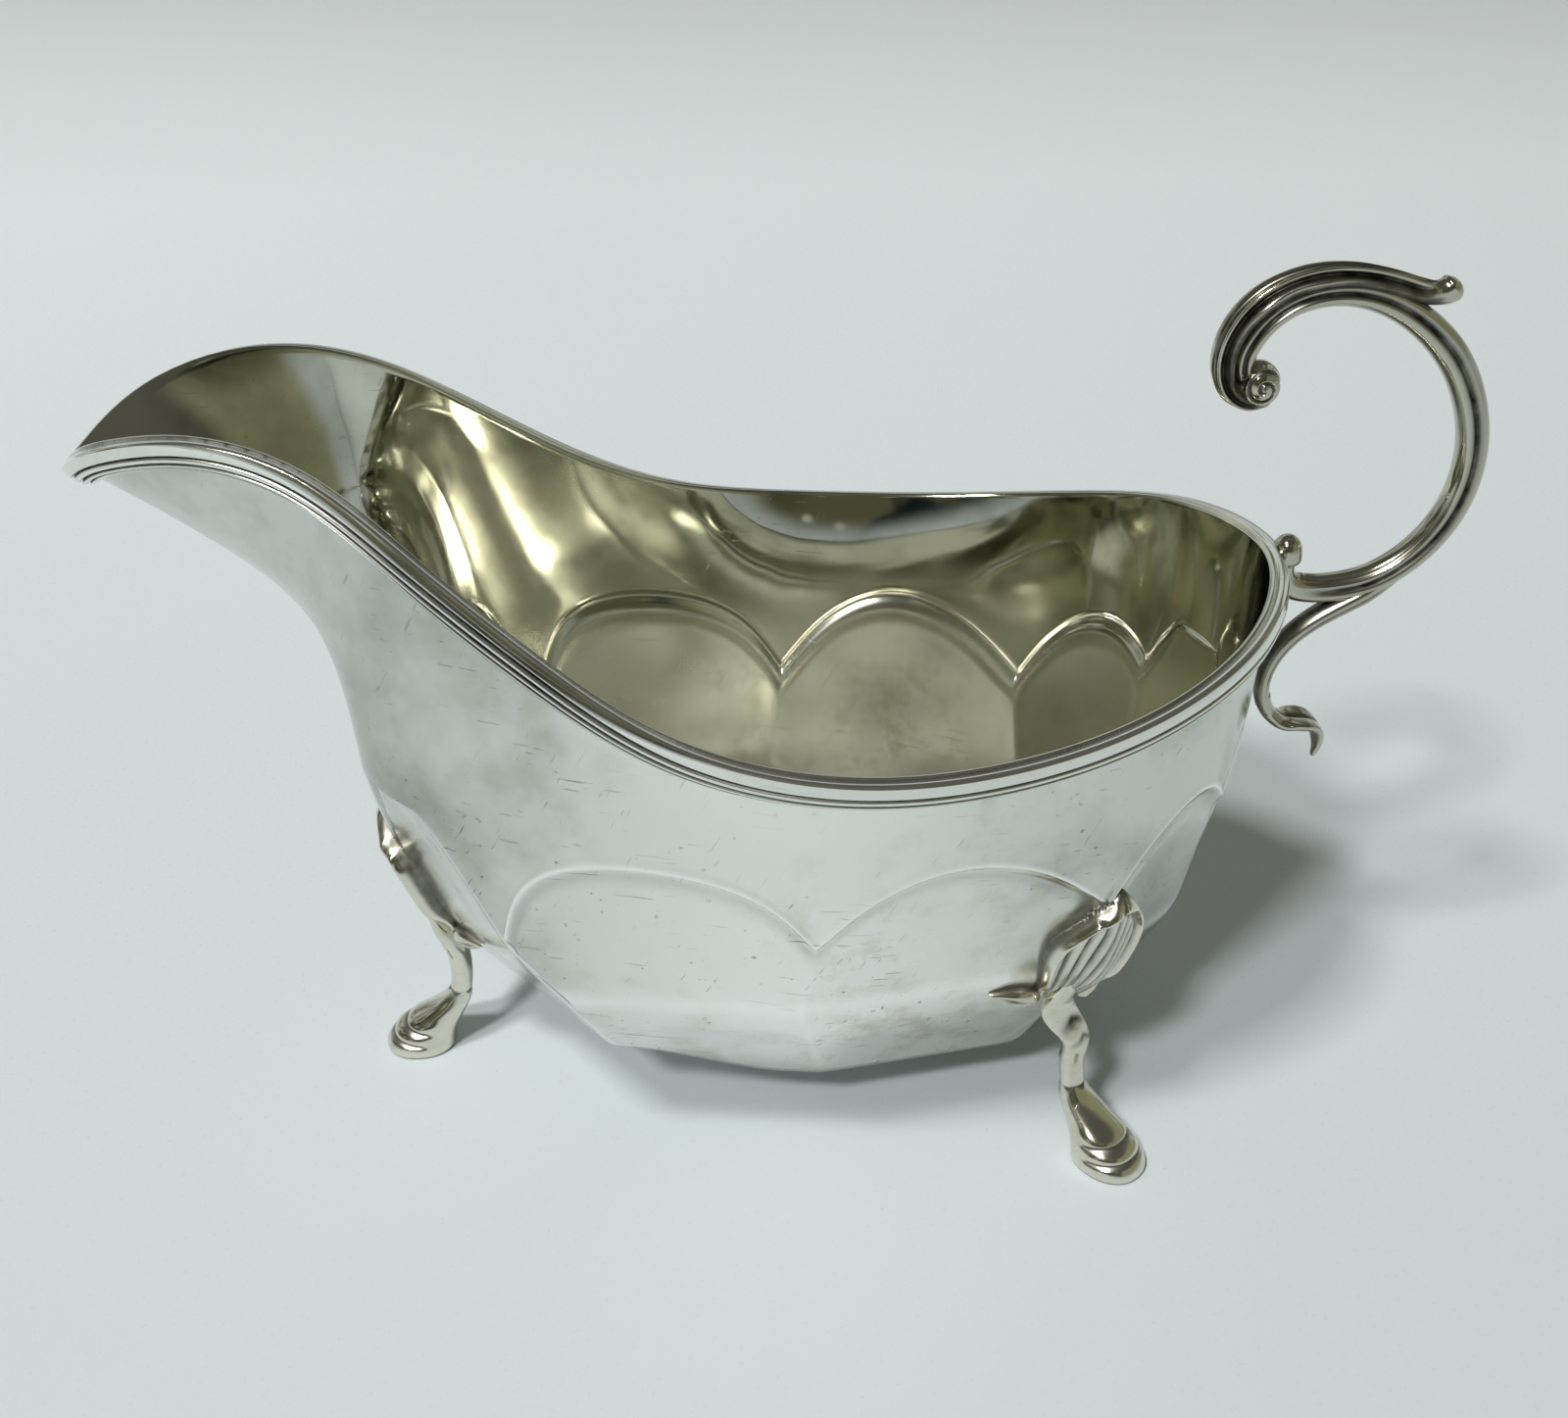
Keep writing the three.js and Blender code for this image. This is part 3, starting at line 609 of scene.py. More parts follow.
def rim_edge(outside, inside):
    """Half circles from the outer to the inner rim, over the top of the wall."""
    middle, half = (outside + inside) / 2, (outside - inside) / 2
    up = outside - outer[-3]
    up /= np.linalg.norm(up, axis=-1, keepdims=True)
    turn = np.linspace(0, np.pi, EDGE_STEPS + 2)[1:-1, None, None]
    return middle + half * np.cos(turn) + up * np.linalg.norm(half, axis=-1, keepdims=True) * np.sin(turn)


bowl_grid = np.vstack([outer[1:], rim_edge(outer[-1], inner[-1]), inner[::-1][:-1]])
print("rows and columns of the sheet:", bowl_grid.shape[:2])

# %% Painted highlights and painted shade along the arches, and the bowl
NOWHERE = 99.0  # the rim's edge counts as far from every arch
BRIGHT_ARCH, BRIGHT_FOLD, BRIGHT_SEAM = (0.2, 0.45), (0.6, 2.2), (0, 0.5)  # place and width in mm
INSIDE_SHARE = 0.35
edge_rows = np.full((EDGE_STEPS, bowl_grid.shape[1]), NOWHERE)
climb = np.vstack([outer_climb[1:], edge_rows, inner_climb[::-1][:-1]])
# Painted highlights: bright lines along the arches, weaker inside, and along the folds and beside the seams below
# the arches.
painted_highlights = 0.9 * dent(climb, *BRIGHT_ARCH) * pressed
painted_highlights[len(outer):] *= INSIDE_SHARE
seam_columns = np.cumsum(PANEL_COLUMNS)[:-1]
seam_columns = np.concatenate([seam_columns, outer.shape[1] - seam_columns])
aside = np.linalg.norm(outer[:, :, None] - outer[:, seam_columns][:, None], axis=-1).min(-1)
fold_and_seam_highlights = 0.6 * dent(past_fold, *BRIGHT_FOLD) + 0.3 * dent(aside, *BRIGHT_SEAM) * (outer_climb < 0)
painted_highlights[:len(outer) - 1] = np.clip(painted_highlights[:len(outer) - 1] + fold_and_seam_highlights[1:], 0, 1)
# Painted shade: a soft dark band just below each arch, outside and inside.
painted_arch_shade = 0.2 * dent(climb, -1.6, 1.1) * pressed
bowl = silver_piece("bowl_sheet", bowl_grid, "bowl", bowl_outside, painted_arch_shade, painted_highlights)
bowl.data.materials.append(bowl_inside)
faces_inside = np.repeat(np.arange(len(bowl_grid) + 1) >= len(outer) + 1, bowl_grid.shape[1])
faces_inside[-2 * bowl_grid.shape[1]:-bowl_grid.shape[1]] = False  # the fan under the floor
bowl.data.polygons.foreach_set("material_index", faces_inside.astype(np.int32))


# %% [markdown]
# ## Points on the bowl
#
# The feet, the leaves beside them and the handle's pad lie on the panels. Seen from the heart of the bowl
# every direction meets the skin once, so a table of distances by direction puts any point on it.

# %% Projection onto the bowl
TABLE_ANGLE = np.linspace(-np.pi, np.pi, 721)
TABLE_RISE = np.linspace(-1.5, 0.6, 500)


def reach_table():
    """Distance from the heart to the outer skin for each angle round the axis and each rise above level."""
    ray = outer - HEART
    rise = np.arctan2(ray[..., 2], np.hypot(ray[..., 0], ray[..., 1]))
    far_off = np.linalg.norm(ray, axis=-1)
    angle = np.arctan2(ray[..., 1], ray[..., 0])
    columns = range(outer.shape[1])
    reach = np.array([np.interp(TABLE_RISE, rise[:, c], far_off[:, c]) for c in columns])
    turned = np.array([np.interp(TABLE_RISE, rise[1:, c], np.unwrap(angle[1:, c])) for c in columns])
    turned = (turned + np.pi) % (2 * np.pi) - np.pi
    return np.array([np.interp(TABLE_ANGLE, a, r, period=2 * np.pi) for a, r in zip(turned.T, reach.T)])


REACH = reach_table()


def skin_at(angle, rise):
    """The skin's point in a direction from the heart, blended between the table's four nearest entries."""
    rows, columns = len(TABLE_RISE), len(TABLE_ANGLE)
    x = (angle + np.pi) / (2 * np.pi) % 1 * (columns - 1)
    y = (rise - TABLE_RISE[0]) / (TABLE_RISE[-1] - TABLE_RISE[0]) * (rows - 1)
    y = np.clip(y, 0, rows - 1.001)
    c, r = x.astype(int), y.astype(int)
    u, v = x - c, y - r
    c2 = np.minimum(c + 1, columns - 1)
    low = REACH[r, c] * (1 - u) + REACH[r, c2] * u
    high = REACH[r + 1, c] * (1 - u) + REACH[r + 1, c2] * u
    way = np.stack([np.cos(rise) * np.cos(angle), np.cos(rise) * np.sin(angle), np.sin(rise)], -1)
    return HEART + way * (low * (1 - v) + high * v)[..., None]


def on_bowl(points, lift):
    """Each point's place on the skin along its ray from the heart, raised by lift along the skin's normal."""
    ray = points - HEART
    angle = np.arctan2(ray[..., 1], ray[..., 0])
    rise = np.arctan2(ray[..., 2], np.hypot(ray[..., 0], ray[..., 1]))
    step = 0.02
    round_slope = skin_at(angle + step, rise) - skin_at(angle - step, rise)
    normal = np.cross(round_slope, skin_at(angle, rise + step) - skin_at(angle, rise - step))
    normal /= np.linalg.norm(normal, axis=-1, keepdims=True)
    return skin_at(angle, rise) + normal * np.asarray(lift)[..., None]


print("nearest and farthest skin from the heart, mm:", REACH.min().round(1), REACH.max().round(1))

# %% [markdown]
# ## The reeded rim
#
# The rim is stiffened by a drawn wire with several reeds along it, soldered round the outside. A drawn wire
# has the same section everywhere, so this is one profile carried along the rim line: distance out from the
# wall against distance down from the edge, with a narrow black groove between neighbouring reeds.

# %% Rim wire
REED_GROOVES = np.array([0.95, 1.95, 2.75])  # distance down from the edge
REED_DEPTH = np.array([0.55, 0.5, 0.42])
WIRE_TOP, WIRE_BOTTOM = -0.62, 3.6


def reed_profile(down):
    """How far the wire stands out: a flattened half oval less one bell per groove."""
    belly = 1.5 * np.sqrt(np.maximum(1 - ((down - 1.15) / 2.5) ** 2, 0))
    reeds = sum(0.12 * dent(down, g, 0.28) for g in (REED_GROOVES[:-1] + REED_GROOVES[1:]) / 2)
    return belly + reeds - sum(d * dent(down, g, 0.12) for g, d in zip(REED_GROOVES, REED_DEPTH))


def rim_frame(count):
    """Points along the rim with the directions out of the wall and down along it."""
    line = rim_line(count)
    angle = np.arctan2(line[:, 1], line[:, 0])
    ones = np.ones(count)
    top, below = flattened(round_body(angle, ones), 0), flattened(round_body(angle, 0.985 * ones), 0)
    down = below - top
    down /= np.linalg.norm(down, axis=1, keepdims=True)
    along = np.roll(line, -1, 0) - np.roll(line, 1, 0)
    out = np.cross(down, along)
    out /= np.linalg.norm(out, axis=1, keepdims=True)
    out *= np.sign((out * (line - HEART)).sum(1, keepdims=True))
    return top, out, np.cross(out, np.cross(down, out))


rim_top, rim_out, rim_down = rim_frame(560)
drop = np.linspace(WIRE_TOP, WIRE_BOTTOM, 64)
face = np.stack([reed_profile(drop), drop], -1)
back = np.array([(0.02, 3.62), (0.0, 2.4), (0.0, 0.9), (-0.1, 0.0), (-0.45, -0.5)])
wire = np.vstack([face, back])
rim_grid = rim_top[:, None] + wire[:, :1] * rim_out[:, None] + wire[:, 1:] * rim_down[:, None]
soot_line = 1.3 * sum(dent(wire[:, 1], g, 0.17) for g in REED_GROOVES) * (wire[:, 0] > 0.1)
soot_line = np.clip(np.maximum(soot_line, 0.8 * smooth01((wire[:, 1] - 3.35) / 0.25)), 0, 1)
silver_piece("rim_reeds", rim_grid, "rim_moulding", rim_silver, soot_line, ring=True)

# %% [markdown]
# ## The handle
#
# The handle is cast and chased. Its stem, the bracket under it and the little tail leaf are bars whose
# section changes along a line that lies in the boat's plane of symmetry, so one helper carries them all: it
# takes the line and, for every step along it and every angle round it, how far the surface stands off. Grooves
# are places where the surface stands off less, and the same numbers blacken them.

# %% Bars in the plane of symmetry
def plane_path(points, count):
    """A smooth line through x, z points in the plane y = 0, with the direction to its right."""
    p = np.asarray(points, float)
    line = spline(np.stack([p[:, 0], 0 * p[:, 0], p[:, 1]], -1), count)
    along = np.gradient(line, axis=0)
    along /= np.linalg.norm(along, axis=1, keepdims=True)
    return line, np.stack([along[:, 2], 0 * along[:, 0], -along[:, 0]], -1)


def eased(stops, count):
    """Values that glide through the stops: pairs of a share of the way and a value."""
    at, value = np.array(stops).T
    return np.interp(np.linspace(0, 1, count), at, value)


def bar(line, right, thick, wide, turn, stand_off, side=(0, -1, 0)):
    """Section points: line + f * (right * thick * cos(turn) + side * wide * sin(turn)), f being the stand-off."""
    a = (thick[:, None] * np.cos(turn) * stand_off)[..., None]
    b = (wide[:, None] * np.sin(turn) * stand_off)[..., None]
    return line[:, None] + a * right[:, None] + b * np.asarray(side, float)


def round_ends(count, low, high):
    """A factor that falls to nothing over the shares low and high of the way, like the ends of an ellipse."""
    t = np.linspace(0, 1, count)
    start = np.sqrt(np.clip(1 - (1 - t / low) ** 2, 0, 1))
    finish = np.sqrt(np.clip(1 - (1 - (1 - t) / high) ** 2, 0, 1))
    return np.where(t < low, start, 1) * np.where(t > 1 - high, finish, 1)


def handle_piece(name, grid, node, dark):
    """One casting of the handle; dark is clipped to 0..1: groove oxide, and painted shade under the leaf."""
    silver_piece(name, grid, node, cast_silver, np.clip(dark, 0, 1))


TURN = np.linspace(0, 2 * np.pi, 72, endpoint=False)
SIDE_TURN = np.abs((TURN + np.pi) % (2 * np.pi) - np.pi)  # 0 on the outer edge, pi on the inner one

# %% Stem
STEM_LINE = [
    (62.5, 73.0), (62.2, 71.0), (63.2, 69.3), (65.6, 68.5), (69, 68.5), (73, 69.3), (77, 71.5), (80.4, 75.0),
    (82.7, 79.4), (83.6, 84.2), (83.2, 89.2), (81.6, 94.0), (79.0, 98.4), (75.4, 102.1), (71.2, 104.9),
    (66.2, 106.6), (61.2, 106.6), (57.2, 105.0), (54.4, 102.0), (53.3, 98.8), (53.8, 96.0)]
STEM_THICK = [(0, 1.15), (0.03, 1.5), (0.06, 1.85), (0.2, 1.95), (0.6, 1.95), (0.75, 1.7), (0.9, 1.45), (1, 1.2)]
STEM_WIDE = [(0, 1.6), (0.05, 1.95), (0.2, 2.05), (0.6, 2.05), (0.85, 2.2), (1, 1.9)]
STEM_STEPS = 420
line, right = plane_path(STEM_LINE, STEM_STEPS)
ends = round_ends(STEM_STEPS, 0.012, 0.02)
t = np.linspace(0, 1, STEM_STEPS)[:, None]
groove_at = 1.5 + 0.14 * np.sin(5 * t)
groove = dent(SIDE_TURN, groove_at, 0.28) * smooth01((t - 0.05) / 0.08)
second = 0.5 * dent(SIDE_TURN, groove_at + 0.75, 0.13) * smooth01((t - 0.02) / 0.1)
second *= 1 - smooth01((t - 0.3) / 0.15)
stand = 1 - 0.28 * groove - 0.16 * second + 0.03 * dent(SIDE_TURN, 0, 0.5)
thick, wide = eased(STEM_THICK, STEM_STEPS) * ends, eased(STEM_WIDE, STEM_STEPS) * ends
handle_piece("handle_stem", bar(line, right, thick, wide, TURN, stand), "handle_scroll", 1.3 * groove + 0.9 * second)

# %% [markdown]
# The leaf lies along the stem's back, folded into long pleats that run together at both ends. Its pleats
# are a cosine across the leaf whose phase drifts along it, so they sweep over its edge, and its tip turns up
# into a round knob. A leaf this small is cast, so its folds are soft on top and sharp in the valleys.

# %% Leaf on the stem's back
LEAF_LINE = [
    (57.2, 94.2), (54.4, 93.9), (52.1, 95.3), (51.0, 98.4), (51.8, 102.4), (54.9, 106.2), (60.0, 108.4),
    (66.4, 108.5), (71.4, 107.3), (74.6, 106.5), (76.6, 106.7), (78.0, 107.7)]
LEAF_THICK = [(0, 0.7), (0.12, 1.1), (0.35, 1.35), (0.7, 1.4), (0.86, 1.35), (0.93, 1.45), (0.975, 1.75), (1, 1.55)]
LEAF_WIDE = [
    (0, 1.7), (0.1, 2.3), (0.3, 2.75), (0.55, 2.6), (0.75, 2.35), (0.88, 1.9), (0.93, 1.5), (0.975, 1.75), (1, 1.5)]
LEAF_STEPS = 300
PLEATS, PLEAT_DEPTH = 3.1, 0.24
LOBES = 5.5
line, right = plane_path(LEAF_LINE, LEAF_STEPS)
t = np.linspace(0, 1, LEAF_STEPS)[:, None]
ends = round_ends(LEAF_STEPS, 0.02, 0.03)
turn = np.linspace(0, 2 * np.pi, 120, endpoint=False)
across = np.sin(turn)
outside = smooth01((np.cos(turn) + 0.35) / 0.5)
pleat = np.cos(PLEATS * np.pi * across + 1.6 * np.sin(np.pi * t) * np.sign(across))
pleated = smooth01(t / 0.08) * (1 - smooth01((t - 0.86) / 0.07)) * outside
lobes = 1 + 0.06 * np.sin(2 * np.pi * LOBES * t) * np.abs(across) ** 3 * smooth01((0.9 - t) / 0.1)
stand = (1 + PLEAT_DEPTH * pleated * (pleat - 0.4)) * lobes
thick, wide = eased(LEAF_THICK, LEAF_STEPS) * ends, eased(LEAF_WIDE, LEAF_STEPS) * ends
valley = smooth01((-pleat + 0.4) / 0.7) * pleated
# Painted shade on the leaf's underside, where it lies against the stem.
under = smooth01((-np.cos(turn) + 0.05) / 0.4) * smooth01((0.95 - t) / 0.03)
leaf_grid = bar(line, -right, thick, wide, turn, stand)
handle_piece("handle_acanthus", leaf_grid, "handle_leaf", 1.2 * valley + 0.9 * under)

# %% [markdown]
# The stem's upper end rolls into a volute. On each side the roll ends in a small cone with a spiral cut
# into it, like a snail's shell. The cone is a height over a disc, less a groove wherever the radius and the
# angle agree on the spiral.

# %% Volute
VOLUTE = np.array([55.3, 0, 96.1])
VOLUTE_RADIUS, SPIRAL_PITCH, SPIRAL_DEPTH = 2.75, 1.15, 0.34
radius = np.sin(np.linspace(0, np.pi / 2, 44))
profile_r = np.concatenate([radius, radius[::-1]])[:, None] * VOLUTE_RADIUS
cone = 3.5 - 1.35 * radius ** 1.3 - 1.75 * smooth01((radius - 0.72) / 0.28)
profile_y = np.concatenate([cone, -cone[::-1]])[:, None]
spin = np.linspace(0, 2 * np.pi, 96, endpoint=False)
spiral = np.cos(spin * np.sign(profile_y) - 2 * np.pi * profile_r / SPIRAL_PITCH)
cut = smooth01((spiral - 0.3) / 0.5) * smooth01(profile_r / 0.5) * (1 - smooth01((profile_r - 2.45) / 0.25))
height = profile_y - np.sign(profile_y) * SPIRAL_DEPTH * cut
volute_grid = VOLUTE + np.stack([profile_r * np.cos(spin), height, profile_r * np.sin(spin)], -1)
handle_piece("handle_snail", volute_grid, "handle_volute", 0.9 * cut)

# %% [markdown]
# Below the stem a bracket branches off and curls in to the bowl, and from its foot the tail leaf curls out
# again and drips to a point. The branch leaves the stem along its underside, so its first stretch is hidden
# inside the stem, which is how a casting blends one branch into the other.

# %% Bracket
BRACKET_LINE = [
    (78.6, 72.2), (75.0, 69.0), (71.4, 66.7), (67.6, 64.4), (64.4, 61.6), (62.5, 58.6), (61.7, 55.6),
    (61.8, 53.0), (62.4, 51.0)]
BRACKET_THICK = [(0, 1.0), (0.25, 1.65), (0.5, 1.5), (0.8, 1.15), (1, 0.95)]
BRACKET_WIDE = [(0, 1.4), (0.25, 1.95), (0.5, 1.85), (0.8, 1.65), (1, 1.7)]
BRACKET_STEPS = 220
line, right = plane_path(BRACKET_LINE, BRACKET_STEPS)
t = np.linspace(0, 1, BRACKET_STEPS)[:, None]
ends = round_ends(BRACKET_STEPS, 0.02, 0.02)
thick, wide = eased(BRACKET_THICK, BRACKET_STEPS) * ends, eased(BRACKET_WIDE, BRACKET_STEPS) * ends
trough = dent(SIDE_TURN, 0.35, 0.8) * smooth01((t - 0.15) / 0.15) * (1 - 0.5 * smooth01((t - 0.75) / 0.2))
seam = dent(SIDE_TURN, 1.95, 0.16) * smooth01((t - 0.12) / 0.1) * (1 - smooth01((t - 0.8) / 0.15))
bracket_grid = bar(line, right, thick, wide, TURN, 1 - 0.22 * trough - 0.16 * seam)
handle_piece("handle_branch", bracket_grid, "handle_bracket", 0.95 * trough + 0.8 * seam)

# %% Tail leaf
TAIL_LINE = [
    (62.0, 53.4), (62.5, 51.4), (63.7, 49.7), (65.6, 48.6), (67.6, 48.4), (69.3, 47.9), (70.4, 46.4),
    (70.6, 44.6), (70.3, 42.9)]
TAIL_THICK = [(0, 1.0), (0.3, 1.0), (0.55, 0.95), (0.8, 0.85), (1, 0.35)]
TAIL_WIDE = [(0, 1.5), (0.2, 1.7), (0.42, 2.8), (0.56, 3.0), (0.7, 2.4), (0.82, 1.35), (1, 0.35)]
TAIL_STEPS, TAIL_CURL = 200, 0.72
line, right = plane_path(TAIL_LINE, TAIL_STEPS)
t = np.linspace(0, 1, TAIL_STEPS)[:, None]
ends = round_ends(TAIL_STEPS, 0.03, 0.03)
thick, wide = eased(TAIL_THICK, TAIL_STEPS) * ends, eased(TAIL_WIDE, TAIL_STEPS) * ends
vein = dent(np.sin(TURN), 0, 0.16) * smooth01((-np.cos(TURN) + 0.2) / 0.5)
vein = vein * smooth01((t - 0.15) / 0.1) * smooth01((0.85 - t) / 0.1)
curl = TAIL_CURL * smooth01((t - 0.3) / 0.2) * smooth01((0.8 - t) / 0.2) * np.sin(TURN) ** 2
tail_grid = bar(line, right, thick, wide, TURN, 1 - 0.3 * vein) - curl[..., None] * right[:, None]
handle_piece("handle_tail", tail_grid, "handle_tail_leaf", 0.9 * vein)

# %% [markdown]
# Where the stem meets the rim sits a small bud: a ball with three soft creases. Behind the bracket's foot
# a pointed pad spreads the handle's pull over the thin wall of the bowl.

# %% Bud
BUD, BUD_RADIUS, BUD_STRETCH, BUD_LEAN = np.array([62.3, 0, 73.6]), 1.95, (1, 1.05, 1.25), 0.25
down = np.linspace(0.02, np.pi - 0.02, 60)[:, None]
spin = np.linspace(0, 2 * np.pi, 90, endpoint=False)
crease = dent(np.sin(1.5 * spin + 0.6), 0, 0.16) * smooth01((down - 0.9) / 0.6)
ball = BUD_RADIUS * (1 - 0.17 * crease) * (1 - 0.22 * smooth01((down - 1.7) / 1.3))
way = np.stack([np.sin(down) * np.cos(spin), np.sin(down) * np.sin(spin), np.cos(down) + 0 * spin], -1)
bud_grid = ball[..., None] * way * BUD_STRETCH
bud_grid[..., 0] -= BUD_LEAN * np.minimum(bud_grid[..., 2], 0)
handle_piece("handle_bud_ball", BUD + bud_grid, "handle_bud", 0.95 * crease)


# %% Pad
def plaque(around, rings):
    """Parameters of a domed plaque laid on the bowl: rings from its middle (0) out to its edge (1)."""
    return np.linspace(0, 1, rings)[:, None], np.linspace(0, 2 * np.pi, around, endpoint=False)[None]


def laid(points, dome):
    """The plaque's domed front followed by its back, which is sunk a little into the bowl."""
    return np.vstack([on_bowl(points, dome), on_bowl(points[::-1], np.full(points.shape[:2], -SUNK))])


def there_and_back(values):
    """Values for the front and, in reverse, for the back."""
    return np.vstack([values, values[::-1]])


SUNK = 0.15  # how far the back of a piece that is laid on the bowl reaches into its skin
PAD_X, PAD_Z, PAD_HALF_WIDTH, PAD_HALF_HEIGHT, PAD_DOME = 60, 51.4, 2.2, 5.4, 1.15
ring, spin = plaque(96, 30)
pad_y = PAD_HALF_WIDTH * ring * np.sin(spin) * (1 + 0.35 * ring * np.cos(spin) ** 3)
pad_z = PAD_Z + PAD_HALF_HEIGHT * ring * np.cos(spin)
dome = PAD_DOME * np.sqrt(np.maximum(1 - ring ** 3, 0)) + 0 * spin
pad_grid = laid(np.stack([PAD_X + 0 * pad_y, pad_y, pad_z], -1), dome)
handle_piece("handle_plaque", pad_grid, "handle_pad", 0.75 * smooth01((there_and_back(ring) - 0.86) / 0.14))

# %% [markdown]
# ## The feet
#
# The three feet are castings from one pattern: a scallop shell as the knee, a short leg, and a hoof with two
# cuts across its toe. We shape one foot in its own frame, with s outwards from the middle of the sole, w along
# the floor and z up, and set it three times. The shell and its two leaves are laid on the bowl.

# %% One foot's frame
FEET = {"front": (180, (-55.4, 0)), "rear_right": (-48, (39, -30.5)), "rear_left": (48, (39, 30.5))}


def foot_place(name):
    """The function that takes a foot's s, w, z to the boat's frame, with its outward and sideways directions."""
    turn, (x, y) = FEET[name]
    out = np.array([np.cos(np.radians(turn)), np.sin(np.radians(turn)), 0])
    side = np.array([-out[1], out[0], 0])

    def place(s, w, z):
        s, w, z = np.broadcast_arrays(s, w, z)
        return np.array([x, y, 0]) + s[..., None] * out + w[..., None] * side + z[..., None] * [0, 0, 1]

    return place, out, side


# %% [markdown]
# The shell is a fan: lines of constant w run together at the knee. A thick rolled border follows its round
# outline, and between the flutes are narrow dark cuts that die out before they reach the border.

# %% Shell knee
SHELL_LOW, SHELL_HIGH, SHELL_HALF, SHELL_SHOULDER = 19.6, 42.8, 6.4, 0.72
SHELL_CUTS = (-0.66, -0.42, -0.2, 0.02, 0.24, 0.46, 0.68)
FLUTE_PITCH = 0.22
PLATE, BORDER, ROLLS, CUT, BANK = 1.75, 1.15, 0.16, 0.55, 0.25  # three heights, then two depths
INSET = -4  # the s where the fan is drawn, before its points follow their rays from the heart to the skin


def shell(place):
    """The fan as loops, t from low to high: over the front, w from edge to edge, and back underneath.

    Rho is a superellipse distance that is 1 on the outline. Returns the grid and its tarnish.
    """
    t = np.linspace(0, 1, 110)[:, None]
    loop = np.linspace(0, 2 * np.pi, 220, endpoint=False)[None]
    w, front = -np.cos(loop), np.sin(loop) >= 0
    opening = 0.50 + 0.50 * np.sin(np.pi / 2 * np.minimum(t / SHELL_SHOULDER, 1))
    closing = np.sqrt(1 - 0.75 * (np.maximum(t - SHELL_SHOULDER, 0) / (1 - SHELL_SHOULDER)) ** 2)
    half = SHELL_HALF * np.where(t < SHELL_SHOULDER, opening, closing)
    z = SHELL_LOW + (SHELL_HIGH - SHELL_LOW) * t - 5.0 * w**2 * t**2
    rho = (np.abs(w) ** 3.2 + (np.maximum(t - 0.4, 0) / 0.6) ** 3.2) ** (1 / 3.2)
    plate = PLATE * np.sqrt(np.maximum(1 - np.minimum(rho, 1) ** 7, 0)) * (0.62 + 0.38 * smooth01(t / 0.3))
    border = BORDER * dent(rho, 0.885, 0.08) * smooth01((t - 0.10) / 0.25)
    fade = smooth01((t - 0.06) / 0.1) * (1 - smooth01((rho - 0.68) / 0.1))
    cuts = np.clip(sum(dent(w, c, 0.032 + 0.012 * (1 - t)) for c in SHELL_CUTS) * fade, 0, 1)
    rolls = ROLLS * np.abs(np.cos(np.pi * (w - SHELL_CUTS[3]) / FLUTE_PITCH)) ** 0.7 * fade
    bank = dent(rho, 0.77, 0.035) * smooth01((t - 0.3) / 0.2)
    lift = np.where(front, plate + border + rolls - CUT * cuts - BANK * bank, -SUNK)
    lift = np.where(front & (rho > 1), -0.12, lift)
    outline = smooth01((rho - 0.94) / 0.04) * (t > 0.02)
    dark = np.clip(0.95 * cuts ** 0.7 + 0.75 * bank + 0.8 * outline, 0, 1)
    return on_bowl(place(INSET, w * half, z), lift), np.where(front, dark, 0.9)


# %% Leg
KNEE_Z, KNEE_LIFT = np.array([26.0, 22.5, 19.6]), np.array([0.2, 0.75, 1.35])
SHIN_S, SHIN_Z = np.array([-7.0, -7.3, -7.2, -6.9]), np.array([16.9, 14.1, 11.7, 9.5])
LEG_THICK = [(0, 0.8), (0.3, 1.5), (0.55, 1.6), (0.8, 1.55), (1, 1.5)]
LEG_WIDE = [(0, 2.6), (0.3, 3.1), (0.45, 2.75), (0.6, 2.15), (0.8, 1.8), (1, 1.75)]
LEG_STEPS = 130


def leg(place, out, side):
    """A bar from under the shell down to the ankle, with two small chevron cuts under the knee."""
    knee = on_bowl(place(np.full(3, -5.0), 0.0, KNEE_Z), KNEE_LIFT)
    line = spline(np.vstack([knee, place(SHIN_S, 0.0, SHIN_Z)]), LEG_STEPS)
    along = np.gradient(line, axis=0)
    along /= np.linalg.norm(along, axis=1, keepdims=True)
    right = np.cross(side, along)
    right *= np.sign((right @ out)[:, None])
    height = line[:, 2:3]
    tent = height + 1.1 * np.abs(np.sin(TURN))
    facing = smooth01((np.cos(TURN) - 0.1) / 0.5) * dent(np.sin(TURN), 0, 0.75)
    chevron = (dent(tent, 20.1, 0.6) + 0.8 * dent(tent, 17.8, 0.35)) * facing
    thick, wide = eased(LEG_THICK, LEG_STEPS), eased(LEG_WIDE, LEG_STEPS)
    grid = bar(line, right, thick, wide, TURN, 1 - 0.06 * chevron, side)
    return grid, np.clip(1.1 * chevron + 0.9 * smooth01((10.0 - height) / 0.3), 0, 1)


# %% Hoof
# height, place along s, half length and half width, from the ankle down; HOOF_SOLE rounds the sole's edge
HOOF = [
    (9.9, -6.95, 1.5, 1.7), (8.6, -6.4, 1.95, 2.15), (7.2, -5.3, 2.5, 2.65), (5.4, -3.4, 3.45, 3.2),
    (3.6, -1.7, 4.25, 3.75), (2.0, -0.7, 4.75, 4.15), (1.1, -0.35, 4.95, 4.35), (0.5, -0.3, 4.95, 4.35)]
HOOF_SOLE = [(0.15, -0.3, 4.85, 4.25), (0, -0.3, 4.6, 4.0)]
HOOF_POWER = 2.2


